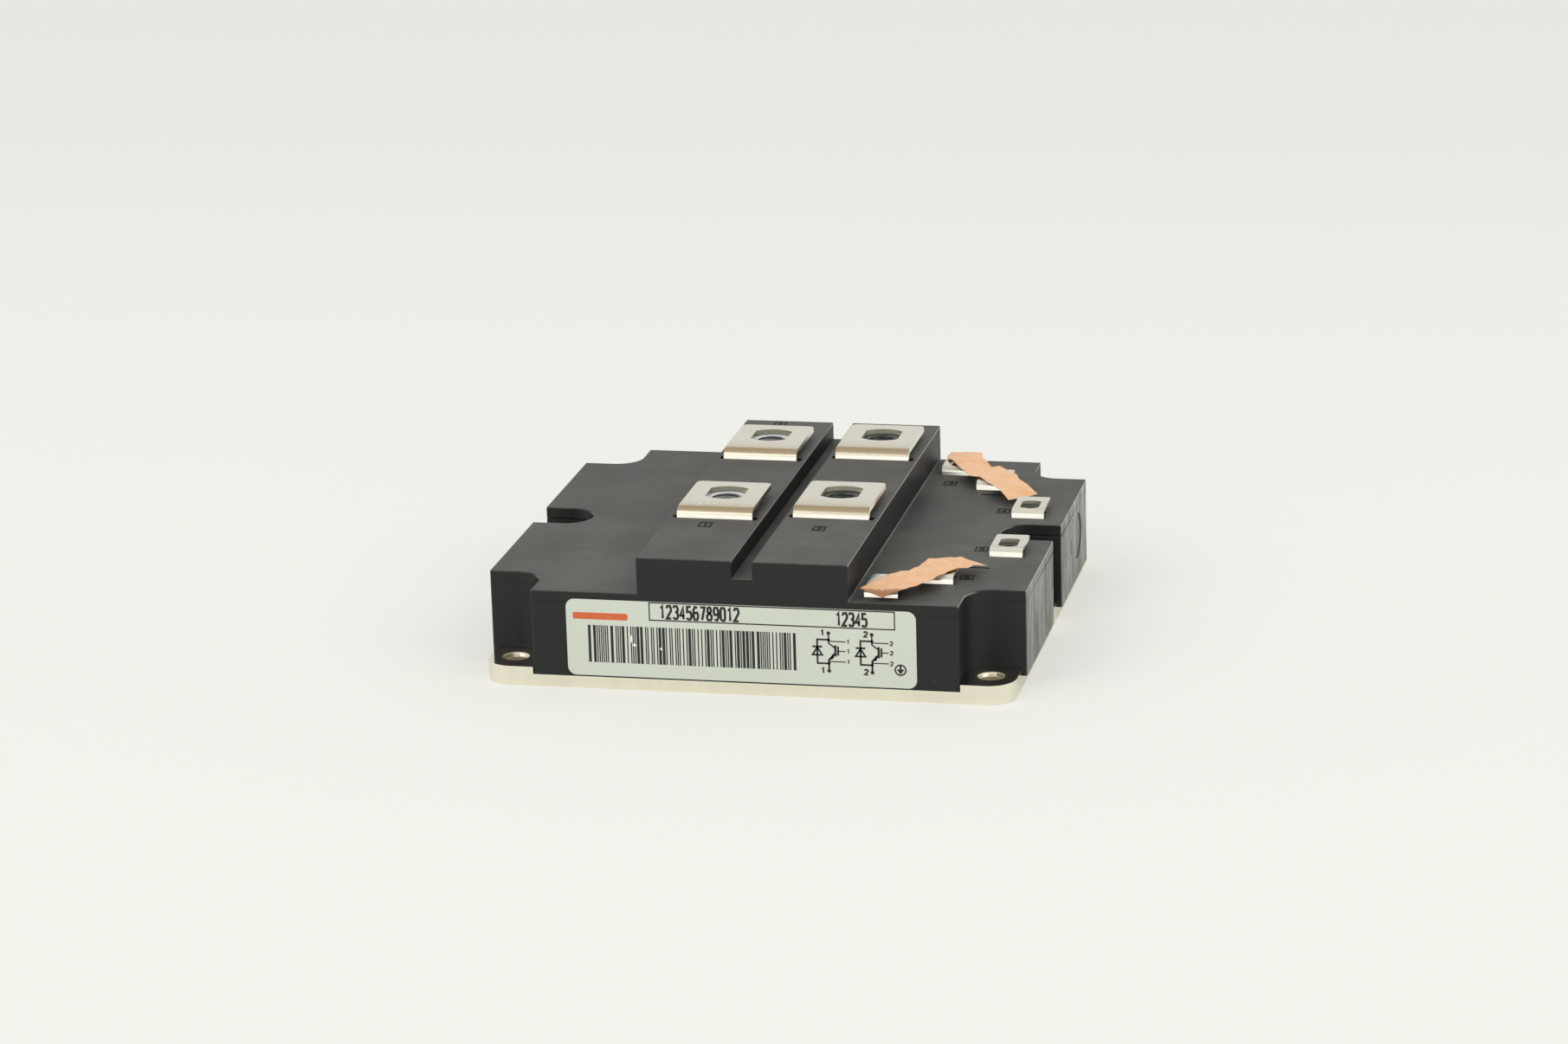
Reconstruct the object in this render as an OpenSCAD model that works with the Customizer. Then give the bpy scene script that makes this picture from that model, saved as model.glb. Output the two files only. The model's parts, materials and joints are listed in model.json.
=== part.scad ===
// Dual power transistor module: a nickel-plated copper baseplate under a moulded
// frame and lid, with four bent power terminals on two ridges, six auxiliary
// terminals on the deck, and the soldered ceramic circuit inside.
// Lengths are in millimetres, +Z is up, and the origin is the centre of the
// baseplate's underside. The long side lies along X, and the label faces -Y.

/* [Baseplate] */
// Length of the baseplate along X
base_l = 137.4; // [134.4:1:145.4]
// Width of the baseplate along Y
base_w = 130; // [128:1:138]
// Thickness of the baseplate
base_t = 5; // [4:0.5:7]
// Radius of the baseplate's corners
base_corner_r = 7; // [3:0.5:9]
// Distance of the mounting holes from the module's outline
hole_edge = 8; // [7:0.5:10]
// Diameter of the mounting holes
hole_d = 7; // [5.5:0.1:8]
// Depth of the ledge that the housing stands on
ledge_h = 1.9; // [1:0.1:2.5]

/* [Housing] */
// Distance by which the housing's side walls overhang the baseplate
side_overhang = 1.3; // [0.5:0.1:2]
// Thickness of the frame's side walls
wall_t = 3; // [2:0.1:4]
// Thickness of the frame's front and rear walls
end_wall_t = 1.8; // [1.2:0.1:2.2]
// Thickness of the lid's front and rear aprons
apron_t = 1.8; // [1.2:0.1:2.2]
// Free radius round each mounting hole, for the bolt's head and washer
relief_r = 6.8; // [6:0.1:7.5]
// Height of the deck above the underside
deck_z = 25.7; // [24:0.1:32]
// Thickness of the lid at the deck
deck_t = 2.9; // [2.4:0.1:4]
// Height of the ridges above the deck
ridge_h = 9.6; // [8:0.1:14]
// Width of a ridge beside its power strips
ridge_land = 2.25; // [1.8:0.05:4]
// Width of the groove between the ridges
groove_w = 5.5; // [3:0.1:9]
// Depth of the groove between the ridges
groove_d = 4.8; // [2:0.1:7]
// Thickness of the ridges' side walls
ridge_wall_t = 2.2; // [1.6:0.1:3]
// Thickness of the ridges' top walls
ridge_top_t = 2.4; // [1.6:0.1:3.5]
// Rounding of the lid's upper edges
edge_r = 0.4; // [0.2:0.1:0.8]
// Rounding of the housing's upright edges
upright_r = 0.5; // [0.2:0.1:1]
// Gap that opens between frame and lid at the bolt notches
seam_gap = 0.45; // [0.1:0.05:1]
// Play between frame, lid and baseplate
fit_play = 0.2; // [0.1:0.05:0.4]

/* [Power terminals] */
// Thickness of the power strips
power_t = 1.2; // [1:0.1:2]
// Width of the power strips
power_w = 20; // [16:0.5:20.5]
// Length of the bent-over top, from the strip's front face
power_l = 24.7; // [22:0.1:27]
// Distance of the screw hole from the strip's front face
power_hole_y = 15; // [13.5:0.1:16]
// Width of the screw hole between its flats
power_hole_w = 10; // [8.6:0.1:11]
// Length of the screw hole over its arcs
power_hole_l = 11.3; // [9:0.1:13]
// Radius of the screw hole's arcs
power_hole_r = 7.5; // [6:0.1:9]
// Inner radius of the strips' bends
power_bend_r = 1.3; // [0.6:0.1:2]
// Space between the ridges and the bent-over strips
power_lift = 1.5; // [1:0.1:2.5]
// Distance by which the right ridge's terminals stand behind the left ridge's
stagger = 3.7; // [3:0.1:4.5]
// Distance by which both rows of strips stand behind the baseplate's middle
row_shift = 0.85; // [0:0.05:1]
// Width across flats of the power nuts
power_nut_af = 13; // [10:0.5:13]
// Height of the power nuts
power_nut_h = 6.5; // [5:0.1:8]
// Bore of the power nuts
power_nut_bore = 6.8; // [5:0.1:6.8]
// Depth that a power screw may reach below the strip's top
power_screw_depth = 16; // [12:0.5:18]

/* [Auxiliary terminals] */
// Thickness of the auxiliary strips
aux_t = 0.8; // [0.5:0.1:1]
// Width of the auxiliary strips
aux_w = 8.6; // [6.5:0.1:9]
// Length of the bent-over top, from the strip's front face
aux_l = 12.3; // [10:0.1:13]
// Distance of the screw hole from the strip's front face
aux_hole_y = 5.2; // [5:0.1:6]
// Width of the screw hole between its flats
aux_hole_w = 5; // [4.2:0.1:5.4]
// Length of the screw hole over its arcs
aux_hole_l = 7; // [5.5:0.1:7.6]
// Radius of the screw hole's arcs
aux_hole_r = 4.2; // [3.6:0.1:6]
// Inner radius of the strips' bends
aux_bend_r = 0.6; // [0.3:0.1:0.9]
// Space between the deck and the bent-over strips
aux_lift = 1.5; // [1:0.1:2.5]
// Distance of the first auxiliary strips from the ridge
aux_ridge_gap = 3.15; // [2:0.05:5]
// Distance of those strips from the frame's end walls
aux_end_gap = 1; // [0.6:0.1:1.5]
// Distance of the second auxiliary screws from the housing's side
aux_slant_edge = 23.5; // [22:0.1:25]
// Distance between the first and the second auxiliary screws along Y
aux_pitch_y = 13; // [12.6:0.1:15]
// Distance of the third auxiliary strips from the lid's ribs
aux_rib_gap = 0.8; // [0.5:0.1:1.5]
// Distance of those strips' legs from the wall of the side notch
aux_notch_gap = 2.3; // [1.5:0.1:4]
// Width across flats of the auxiliary nuts
aux_nut_af = 7; // [6:0.1:7]
// Height of the auxiliary nuts
aux_nut_h = 3.2; // [2.5:0.1:4]
// Bore of the auxiliary nuts
aux_nut_bore = 3.3; // [2.5:0.1:3.5]
// Depth that an auxiliary screw may reach below the strip's top
aux_screw_depth = 8; // [6:0.5:9]
// Length of the two narrow slots in the deck
deck_slot_l = 13.7; // [8:0.1:14]
// Width of the two narrow slots in the deck
deck_slot_w = 0.8; // [0.5:0.1:1.5]
// Distance of the narrow slots from the second auxiliary screws
deck_slot_gap = 9.5; // [9:0.1:11]

/* [Label and foils] */
// Length of the label
label_l = 90.5; // [60:0.5:100]
// Bare height of the front face below the label
label_below = 0.4; // [0.2:0.1:3]
// Bare height of the front face above the label, up to the deck
label_above = 1.9; // [1:0.1:6]
// X of the label's middle
label_x = -0.8; // [-4:0.1:4]
// Thickness of the label
label_t = 0.12; // [0.08:0.01:0.3]
// Radius of the label's corners
label_corner_r = 2.2; // [0.5:0.1:4]
// Thickness of the copper foils
foil_t = 0.15; // [0.1:0.01:0.3]

/* [Circuit] */
// Distance of the ceramic tiles from the walls of the side notches
tile_side_gap = 1.7; // [1:0.1:4]
// Distance of the ceramic tiles from the frame's end walls
tile_end_gap = 7.1; // [6:0.1:9]
// Distance between the left and the right tiles
tile_gap_x = 3; // [2:0.1:4]
// Distance between the front and the rear tiles
tile_gap_y = 2.2; // [1:0.1:4]
// Thickness of the ceramic with the copper under it
tile_t = 0.9; // [0.6:0.1:1.2]
// Thickness of the copper tracks
track_t = 0.3; // [0.2:0.05:0.5]
// Bare margin at the edge of a tile
track_margin = 1; // [0.5:0.1:1.5]
// Gap between two tracks
track_gap = 0.8; // [0.5:0.1:1.2]
// Width of the emitter track
emitter_track_w = 7; // [6:0.1:8]
// Width of the gate track
gate_track_w = 3.2; // [2.5:0.1:4]
// Gap beside a chip
chip_gap = 0.8; // [0.4:0.1:1]
// Difference between the side of a transistor chip and of a diode chip
chip_step = 0.8; // [0.2:0.1:2]
// Thickness of the chips
chip_t = 0.25; // [0.15:0.05:0.4]
// Thickness of a bond wire
wire_t = 0.4; // [0.3:0.05:0.5]
// Height of a bond wire's loop
loop_h = 1.6; // [1:0.1:2.2]
// Distance between neighbouring bond wires
wire_pitch = 2.4; // [1.5:0.1:2.6]
// Air between the gel's level and the lid's lowest bosses
gel_gap = 1; // [0.4:0.1:1.4]
// Radius of an insulated lead
lead_r = 0.6; // [0.4:0.05:0.8]

/* [Hidden] */
SEATS = ["front_left", "front_right", "rear_left", "rear_right"];
AUX_SEATS = ["front_outer", "front_slant", "front_side", "rear_outer", "rear_slant", "rear_side"];
ROWS = ["front", "rear"];

$fn = 32;
eps = 0.01;
past = 1;

// Heights of the housing and the terminals
foot_z = base_t - ledge_h;
seam_z = deck_z - deck_t;
ridge_z = deck_z + ridge_h;
groove_z = ridge_z - groove_d;
power_z = ridge_z + power_lift + power_t;
aux_z = deck_z + aux_lift + aux_t;

// Heights of the circuit, from the baseplate up to the busbars
tile_z = base_t + tile_t;
track_z = tile_z + track_t;
chip_z = track_z + chip_t;
lead_gap = 0.35;
lead_z = chip_z + loop_h + wire_t + lead_gap + lead_r;
bar_z0 = lead_z + lead_r;
bar_z1 = bar_z0 + 6.5;
aux_leg_z = bar_z0 + 3;

// Housing
case_l = base_l + 2 * side_overhang;
hole_x = case_l / 2 - hole_edge;
hole_y = base_w / 2 - hole_edge;
relief_x = hole_x - relief_r;
relief_y = hole_y - relief_r;
ridge_w = power_w + 2 * ridge_land;
ridge_x = (groove_w + ridge_w) / 2;
ridge_out = ridge_x + ridge_w / 2;
apron_y = base_w / 2 - apron_t;
frame_y = apron_y - fit_play;
frame_in_y = frame_y - end_wall_t;
rib_t = 1.5;
rib_h = 1.5;
rib_x = case_l / 2 - wall_t - fit_play - rib_t;
rib_y0 = relief_r + wall_t + 4.5;
rib_y1 = relief_y - wall_t - 3;
seam_run = relief_y - 5;
mark_d = 12.4;
mark_z = foot_z + 11.5;
mark_back = 16.1;
mark_depth = 0.25;
mark_line = [0.5, 4.1];
mark_line_back = 27.2;
label_h = deck_z - foot_z - label_below - label_above;

// Terminals
nut_play = 0.15;
nut_drop = 0.3;
power_slot_play = 1.2;
aux_slot_play = 0.4;
slot_lead = 0.1;
boss_floor_t = 1.5;
bore_play = 0.9;
boss_sink = 0.4;
boss_wall = 0.6;
power_boss_r = ridge_w / 2 - ridge_wall_t + boss_sink;
power_boss_z = power_z - power_screw_depth - boss_floor_t;
power_bore_r = power_nut_bore / 2 + bore_play;
aux_boss_r = (aux_nut_af / 2 + nut_play) / cos(30) + boss_wall;
aux_boss_z = aux_z - aux_screw_depth - boss_floor_t;
aux_bore_r = aux_nut_bore / 2 + bore_play;
power_back_r = 1.5;
aux_back_r = 0.8;
gel_z = aux_boss_z - gel_gap;

// Circuit: tile k stands under terminal k, and its own axes u and v run from
// its middle, u away from the module's middle
tile_l = relief_x - wall_t - tile_side_gap - tile_gap_x / 2;
tile_w = frame_in_y - tile_end_gap - tile_gap_y / 2;
tile_x = (tile_l + tile_gap_x) / 2;
function row_of(k) = k < 2 ? -1 : 1;
function side_of(k) = k % 2 == 0 ? -1 : 1;
function tile_y(k) = row_of(k) * (tile_w + tile_gap_y) / 2 + row_shift;
function front_face(k) = tile_y(k) + (side_of(k) * stagger - power_t) / 2;
track_u = tile_l / 2 - track_margin;
track_v = tile_w / 2 - track_margin;
emitter_u = -track_u + emitter_track_w / 2;
collector_u0 = -track_u + emitter_track_w + track_gap;
collector_u1 = track_u - gate_track_w - track_gap;
gate_u = track_u - gate_track_w / 2;
gate_wire_u = gate_u - gate_track_w / 4;
gate_lead_u = gate_u + gate_track_w / 4;

// Busbars: the left terminals are emitters and the right ones collectors
foot_l = 4.5;
foot_w = emitter_track_w - 1;
collector_foot_w = 12;
foot_v = (stagger - power_t) / 2 + foot_l;

// Chips: two rows before and two behind the busbars' feet
igbt_side = (track_v - foot_v - 3 * chip_gap) / 2;
diode_side = igbt_side - chip_step;
chip_v1 = track_v - chip_gap / 2 - igbt_side / 2;
chip_v0 = chip_v1 - igbt_side - chip_gap;
chip_rows = [-chip_v1, -chip_v0, chip_v0, chip_v1];
diode_u = collector_u0 + 3 * chip_gap + diode_side / 2;
igbt_u = diode_u + (diode_side + igbt_side) / 2 + 3;
gate_wire_v = -1;
wires_in_row = 3;
loop_steps = 4;

// The power screws, in the order of SEATS
power_seat = [for (k = [0 : 3]) [side_of(k) * ridge_x, front_face(k) + power_hole_y]];

// The auxiliary screws, in the order of AUX_SEATS
aux_outer = [ridge_out + aux_ridge_gap + aux_w / 2, frame_in_y - aux_end_gap - aux_hole_y];
aux_slant = [case_l / 2 - aux_slant_edge, aux_outer[1] - aux_pitch_y];
aux_side = [rib_x - aux_rib_gap - aux_w / 2, relief_r + wall_t + aux_notch_gap + aux_hole_y];
aux_seat = [for (sy = [-1, 1]) for (p = [aux_outer, aux_slant, aux_side]) [p[0], sy * p[1]]];

// ---------------------------------------------------------------- helpers

// What a rounded corner removes: the corner is at the origin, the solid lies
// towards -X and -Y, and r is the radius of the rounding.
module corner_waste(r) {
    difference() {
        translate([-r, -r]) square(r + past);
        translate([-r, -r]) circle(r);
    }
}

// The same at the point (x, y) of an outline whose solid lies towards (-sx, -sy).
module corner_waste_at(x, y, sx, sy, r) {
    translate([x, y])
        mirror([sx < 0 ? 1 : 0, 0])
        mirror([0, sy < 0 ? 1 : 0])
            corner_waste(r);
}

// What a rounded upper edge removes along X, from x0 to x1, where sy is the
// side of the edge that is open.
module edge_waste_x(x0, x1, y, z, sy, r) {
    translate([x0, y, z])
        mirror([0, sy < 0 ? 1 : 0, 0])
        rotate([90, 0, 90])
            linear_extrude(x1 - x0) corner_waste(r);
}

// The same along Y, from y0 to y1, where sx is the side that is open.
module edge_waste_y(y0, y1, x, z, sx, r) {
    translate([x, y1, z])
        mirror([sx < 0 ? 1 : 0, 0, 0])
        rotate([90, 0, 0])
            linear_extrude(y1 - y0) corner_waste(r);
}

// The same round an upright hollow of radius r0 at the origin.
module edge_waste_round(r0, z, r) {
    rotate_extrude($fn = 48)
        translate([r0, z])
        mirror([1, 0])
            corner_waste(r);
}

// A hexagonal prism with its flats facing +Y and -Y.
module hexagon(af, h) {
    cylinder(d = af / cos(30), h = h, $fn = 6);
}

// A solid skin over a list of rings that all have the same number of points.
module skin(rings) {
    n = len(rings[0]);
    m = len(rings);
    polyhedron(
        points = [for (ring = rings) for (p = ring) p],
        faces = concat(
            [[for (j = [0 : n - 1]) j]],
            [[for (j = [n - 1 : -1 : 0]) (m - 1) * n + j]],
            [for (i = [0 : m - 2]) for (j = [0 : n - 1])
                [i * n + j, (i + 1) * n + j, (i + 1) * n + (j + 1) % n]],
            [for (i = [0 : m - 2]) for (j = [0 : n - 1])
                [i * n + j, (i + 1) * n + (j + 1) % n, i * n + (j + 1) % n]]
        )
    );
}

function unit(v) = v / norm(v);

// Carries a ring along a path of points, with a mitre at each corner: every
// point of the ring moves along the run until it meets the corner's plane.
function carried(path, i, ring) = i == len(path) ? [] :
    let (
        d = unit(path[i] - path[i - 1]),
        e = i == len(path) - 1 ? d : unit(path[i + 1] - path[i]),
        n = d + e,
        moved = [for (q = ring) q + d * (((path[i] - q) * n) / (d * n))]
    )
    concat([moved], carried(path, i + 1, moved));

// A round insulated lead whose first run goes straight down or up.
module lead(path) {
    start = [for (a = [0 : 45 : 315]) path[0] + lead_r * [cos(a), sin(a), 0]];
    rings = concat([start], carried(path, 1, start));
    skin(path[1][2] > path[0][2] ? rings : [for (ring = rings) [for (j = [7 : -1 : 0]) ring[j]]]);
}

// ---------------------------------------------------------------- outlines

module base_outline() {
    difference() {
        square([base_l, base_w], center = true);
        for (sx = [-1, 1], sy = [-1, 1])
            corner_waste_at(sx * base_l / 2, sy * base_w / 2, sx, sy, base_corner_r);
    }
}

// The housing's outline, drawn inwards by inset, with a recess at each corner
// hole and a notch at each side hole.
module case_outline(inset, corner_r = 0) {
    x = case_l / 2 - inset;
    y = base_w / 2 - inset;
    r = relief_r + inset;
    difference() {
        square([2 * x, 2 * y], center = true);
        for (sx = [-1, 1], sy = [-1, 1]) scale_sign(sx, sy) {
            translate([hole_x, hole_y]) {
                circle(r, $fn = 48);
                translate([-r, 0]) square([r + case_l, base_w]);
                translate([0, -r]) square([case_l, r + base_w]);
            }
            if (corner_r > 0) {
                corner_waste_at(hole_x - r, y, 1, 1, corner_r);
                corner_waste_at(x, hole_y - r, 1, 1, corner_r);
                corner_waste_at(x, r, 1, -1, corner_r);
            }
        }
        for (sx = [-1, 1]) scale_sign(sx, 1)
            translate([hole_x, 0]) {
                circle(r, $fn = 48);
                translate([0, -r]) square([case_l, 2 * r]);
            }
    }
}

// Mirrors its children into the quarter that the signs name.
module scale_sign(sx, sy) {
    mirror([sx < 0 ? 1 : 0, 0, 0])
        mirror([0, sy < 0 ? 1 : 0, 0])
            children();
}

module band(half_y) {
    square([2 * case_l, 2 * half_y], center = true);
}

// ---------------------------------------------------------------- baseplate

// A flat plate with six holes. A ledge runs round it for the housing's foot,
// and leaves its full thickness in the middle and at the holes.
module baseplate() {
    color([0.82, 0.79, 0.70])
    difference() {
        linear_extrude(base_t) base_outline();
        translate([0, 0, foot_z])
            linear_extrude(ledge_h + past)
                difference() {
                    case_outline(-fit_play);
                    intersection() {
                        case_outline(wall_t + fit_play);
                        band(frame_in_y - fit_play);
                    }
                }
        for (x = [-hole_x, hole_x], y = [-hole_y, 0, hole_y])
            translate([x, y, -past]) cylinder(d = hole_d, h = base_t + 2 * past, $fn = 48);
    }
}

// ---------------------------------------------------------------- housing

// The moulded ring that holds the gel: open above and below, with its upper
// edge dipping towards the side notches.
module housing_frame() {
    color([0.16, 0.16, 0.17])
    difference() {
        translate([0, 0, foot_z])
            linear_extrude(seam_z - foot_z)
                difference() {
                    intersection() {
                        case_outline(0, upright_r);
                        band(frame_y);
                    }
                    intersection() {
                        case_outline(wall_t);
                        band(frame_in_y);
                    }
                }
        translate([-case_l, 0, seam_z])
            rotate([90, 0, 90])
                linear_extrude(2 * case_l)
                    polygon([[-seam_run, 0], [0, -seam_gap], [seam_run, 0],
                             [seam_run, past], [-seam_run, past]]);
        side_marks();
    }
}

// A round mould mark and a short line sunk in the right-hand wall.
module side_marks() {
    translate([case_l / 2 - mark_depth, relief_y - mark_back, mark_z])
        rotate([0, 90, 0]) cylinder(d = mark_d, h = past, $fn = 48);
    translate([case_l / 2 - mark_depth, relief_y - mark_line_back, mark_z - mark_line[1] / 2])
        cube([past, mark_line[0], mark_line[1]]);
}

// The lid: a deck with two ridges, hollow below, whose front and rear aprons
// come down to the foot. Bosses under the terminals hold the nuts.
module lid() {
    color([0.18, 0.18, 0.19])
    difference() {
        union() {
            difference() {
                lid_shell();
                lid_hollow();
            }
            lid_bosses();
            locating_ribs();
        }
        nut_pockets();
        terminal_slots();
        lid_edge_waste();
    }
}

module lid_shell() {
    translate([0, 0, seam_z])
        linear_extrude(deck_t) case_outline(0, upright_r);
    translate([0, 0, foot_z])
        linear_extrude(seam_z - foot_z + eps)
            difference() {
                case_outline(0, upright_r);
                band(apron_y);
            }
    translate([0, 0, deck_z - eps])
        linear_extrude(groove_z - deck_z + eps) square([2 * ridge_out, base_w], center = true);
    for (sx = [-1, 1])
        translate([sx * ridge_x, 0, groove_z - eps])
            linear_extrude(ridge_z - groove_z + eps) square([ridge_w, base_w], center = true);
}

module lid_hollow() {
    hollow_w = ridge_w - 2 * ridge_wall_t;
    for (sx = [-1, 1])
        translate([sx * ridge_x - hollow_w / 2, -apron_y, seam_z - past])
            cube([hollow_w, 2 * apron_y, ridge_z - ridge_top_t - seam_z + past]);
    translate([-ridge_x, -apron_y, seam_z - past])
        cube([2 * ridge_x, 2 * apron_y, groove_z - ridge_top_t - seam_z + past]);
}

module lid_bosses() {
    for (p = power_seat)
        translate([p[0], p[1], power_boss_z])
            cylinder(r = power_boss_r, h = ridge_z - ridge_top_t - power_boss_z + eps);
    for (p = aux_seat)
        translate([p[0], p[1], aux_boss_z])
            intersection() {
                cylinder(r = aux_boss_r, h = seam_z - aux_boss_z + eps);
                translate([-aux_boss_r, aux_t + aux_slot_play + boss_wall / 2 - aux_hole_y, 0])
                    cube([2 * aux_boss_r, 2 * aux_boss_r, deck_z]);
            }
}

// Four ribs under the deck that find the frame's side walls.
module locating_ribs() {
    for (sx = [-1, 1], sy = [-1, 1])
        scale_sign(sx, sy)
            translate([rib_x, rib_y0, seam_z - rib_h])
                cube([rib_t, rib_y1 - rib_y0, rib_h + eps]);
}

module nut_pockets() {
    for (p = power_seat)
        translate([p[0], p[1], power_z - power_t - nut_drop - power_nut_h]) {
            hexagon(power_nut_af + 2 * nut_play, ridge_h);
            translate([0, 0, power_t + nut_drop + power_nut_h - power_screw_depth])
                cylinder(r = power_bore_r, h = power_screw_depth);
        }
    for (p = aux_seat)
        translate([p[0], p[1], aux_z - aux_t - nut_drop - aux_nut_h]) {
            hexagon(aux_nut_af + 2 * nut_play, ridge_h);
            translate([0, 0, aux_t + nut_drop + aux_nut_h - aux_screw_depth])
                cylinder(r = aux_bore_r, h = aux_screw_depth, $fn = 24);
        }
}

module terminal_slots() {
    power_slot = [power_w + 2 * power_slot_play, power_t + power_slot_play, ridge_z];
    for (p = power_seat)
        translate([p[0] - power_slot[0] / 2, p[1] - power_hole_y - slot_lead, seam_z - past])
            cube(power_slot);
    aux_slot = [aux_w + 2 * aux_slot_play, aux_t + aux_slot_play, deck_t + 2 * past];
    for (p = aux_seat)
        translate([p[0] - aux_slot[0] / 2, p[1] - aux_hole_y - slot_lead, seam_z - past])
            cube(aux_slot);
    slot_depth = 0.75 * deck_t;
    slot_x = (aux_slant[0] + aux_side[0] - deck_slot_l) / 2 - 2.4;
    for (sy = [-1, 1])
        translate([slot_x, sy * (aux_slant[1] - deck_slot_gap) - deck_slot_w / 2, deck_z - slot_depth])
            cube([deck_slot_l, deck_slot_w, slot_depth + past]);
}

module lid_edge_waste() {
    half_l = case_l / 2;
    half_w = base_w / 2;
    for (sx = [-1, 1], sy = [-1, 1]) scale_sign(sx, sy) {
        edge_waste_y(relief_r, relief_y, half_l, deck_z, 1, edge_r);
        edge_waste_x(ridge_out, relief_x, half_w, deck_z, 1, edge_r);
        edge_waste_x(hole_x, half_l, relief_y, deck_z, 1, edge_r);
        edge_waste_y(hole_y, half_w, relief_x, deck_z, 1, edge_r);
        edge_waste_x(hole_x, half_l, relief_r, deck_z, -1, edge_r);
        translate([hole_x, hole_y, 0])
            edge_waste_round(relief_r, deck_z, edge_r);
        edge_waste_y(0, half_w, ridge_out, ridge_z, 1, edge_r);
        edge_waste_y(0, half_w, groove_w / 2, ridge_z, -1, edge_r);
        edge_waste_x(groove_w / 2, ridge_out, half_w, ridge_z, 1, edge_r);
    }
    for (sx = [-1, 1]) scale_sign(sx, 1)
        translate([hole_x, 0, 0])
            edge_waste_round(relief_r, deck_z, edge_r);
}

module label() {
    color([0.83, 0.87, 0.80])
    translate([label_x, -base_w / 2, foot_z + label_below + label_h / 2])
        rotate([90, 0, 0])
            linear_extrude(label_t)
                difference() {
                    square([label_l, label_h], center = true);
                    for (sx = [-1, 1], sy = [-1, 1])
                        corner_waste_at(sx * label_l / 2, sy * label_h / 2, sx, sy, label_corner_r);
                }
}

// ---------------------------------------------------------------- terminals

// A strip seen from its edge: it rises from depth drop, bends round and runs
// back to length l. Its outer faces lie at y = 0 and z = 0.
module strip_side(t, bend_r, l, drop) {
    out_r = bend_r + t;
    translate([0, -drop]) square([t, drop - out_r + eps]);
    translate([out_r - eps, -t]) square([l - out_r + eps, t]);
    intersection() {
        translate([0, -out_r]) square(out_r);
        difference() {
            translate([out_r, -out_r]) circle(out_r, $fn = 40);
            translate([out_r, -out_r]) circle(bend_r, $fn = 40);
        }
    }
}

module strip(w, t, bend_r, l, drop) {
    translate([-w / 2, 0, 0])
        rotate([90, 0, 90])
            linear_extrude(w) strip_side(t, bend_r, l, drop);
}

// A screw hole with two flat sides and two shallow arcs.
module screw_hole(w, l, r, t) {
    translate([0, 0, -t - past])
        linear_extrude(t + 2 * past)
            intersection() {
                square([w, 2 * l], center = true);
                translate([0, l / 2 - r]) circle(r, $fn = 64);
                translate([0, r - l / 2]) circle(r, $fn = 64);
            }
}

// A bent-over strip with its screw hole and rounded back corners, placed by
// its screw and its upper face.
module bent_terminal(w, t, bend_r, l, hole_y, hole_w, hole_l, hole_r, back_r, drop) {
    difference() {
        translate([0, -hole_y, 0]) strip(w, t, bend_r, l, drop);
        screw_hole(hole_w, hole_l, hole_r, t);
        for (sx = [-1, 1])
            translate([0, 0, -t - past])
                linear_extrude(t + 2 * past)
                    corner_waste_at(sx * w / 2, l - hole_y, sx, 1, back_r);
    }
}

// A foot that turns from the busbar on to a track: sy is the side it turns to.
module busbar_foot(x, w, sy) {
    translate([x, power_t / 2, track_z])
        mirror([0, sy < 0 ? 1 : 0, 0])
        translate([0, -power_t / 2, 0])
        mirror([0, 0, 1])
            strip(w, power_t, power_bend_r, foot_l, bar_z0 - track_z + eps);
}

// One power terminal. Its busbar crosses both tiles of its row in one plane,
// and a foot turns on to each tile: the left one's forwards to the emitter
// tracks, the right one's backwards to the collector tracks.
module power_terminal(k) {
    p = power_seat[k];
    is_emitter = side_of(k) < 0;
    foot_x = tile_x + (is_emitter ? emitter_u : (diode_u + igbt_u) / 2);
    width = is_emitter ? foot_w : collector_foot_w;
    bar_x0 = min(p[0] - power_w / 2, -foot_x - width / 2);
    bar_x1 = max(p[0] + power_w / 2, foot_x + width / 2);
    color([0.80, 0.77, 0.70]) {
        translate([p[0], p[1], power_z])
            bent_terminal(power_w, power_t, power_bend_r, power_l, power_hole_y,
                power_hole_w, power_hole_l, power_hole_r, power_back_r, power_z - bar_z1 + eps);
        translate([bar_x0, front_face(k), bar_z0])
            cube([bar_x1 - bar_x0, power_t, bar_z1 - bar_z0]);
        for (sx = [-1, 1])
            translate([0, front_face(k), 0])
                busbar_foot(sx * foot_x, width, side_of(k));
    }
}

module aux_terminal(k) {
    color([0.80, 0.77, 0.70])
    translate([aux_seat[k][0], aux_seat[k][1], aux_z])
        bent_terminal(aux_w, aux_t, aux_bend_r, aux_l, aux_hole_y,
            aux_hole_w, aux_hole_l, aux_hole_r, aux_back_r, aux_z - aux_leg_z);
}

// A hexagon nut with its top on z = 0 and its corners chamfered.
module nut(af, h, bore) {
    corner_r = af / 2 / cos(30);
    chamfer = 0.6 * (corner_r - af / 2);
    translate([0, 0, -h])
        difference() {
            intersection() {
                hexagon(af, h);
                rotate_extrude($fn = 24)
                    polygon([[0, 0], [corner_r - 2 * chamfer, 0], [corner_r + eps, chamfer],
                        [corner_r + eps, h - chamfer], [corner_r - 2 * chamfer, h], [0, h]]);
            }
            translate([0, 0, -past]) cylinder(d = bore, h = h + 2 * past, $fn = 24);
        }
}

module power_nut(k) {
    color([0.75, 0.77, 0.80])
    translate([power_seat[k][0], power_seat[k][1], power_z - power_t - nut_drop])
        nut(power_nut_af, power_nut_h, power_nut_bore);
}

module aux_nut(k) {
    color([0.75, 0.77, 0.80])
    translate([aux_seat[k][0], aux_seat[k][1], aux_z - aux_t - nut_drop])
        nut(aux_nut_af, aux_nut_h, aux_nut_bore);
}

// ---------------------------------------------------------------- foils

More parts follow.
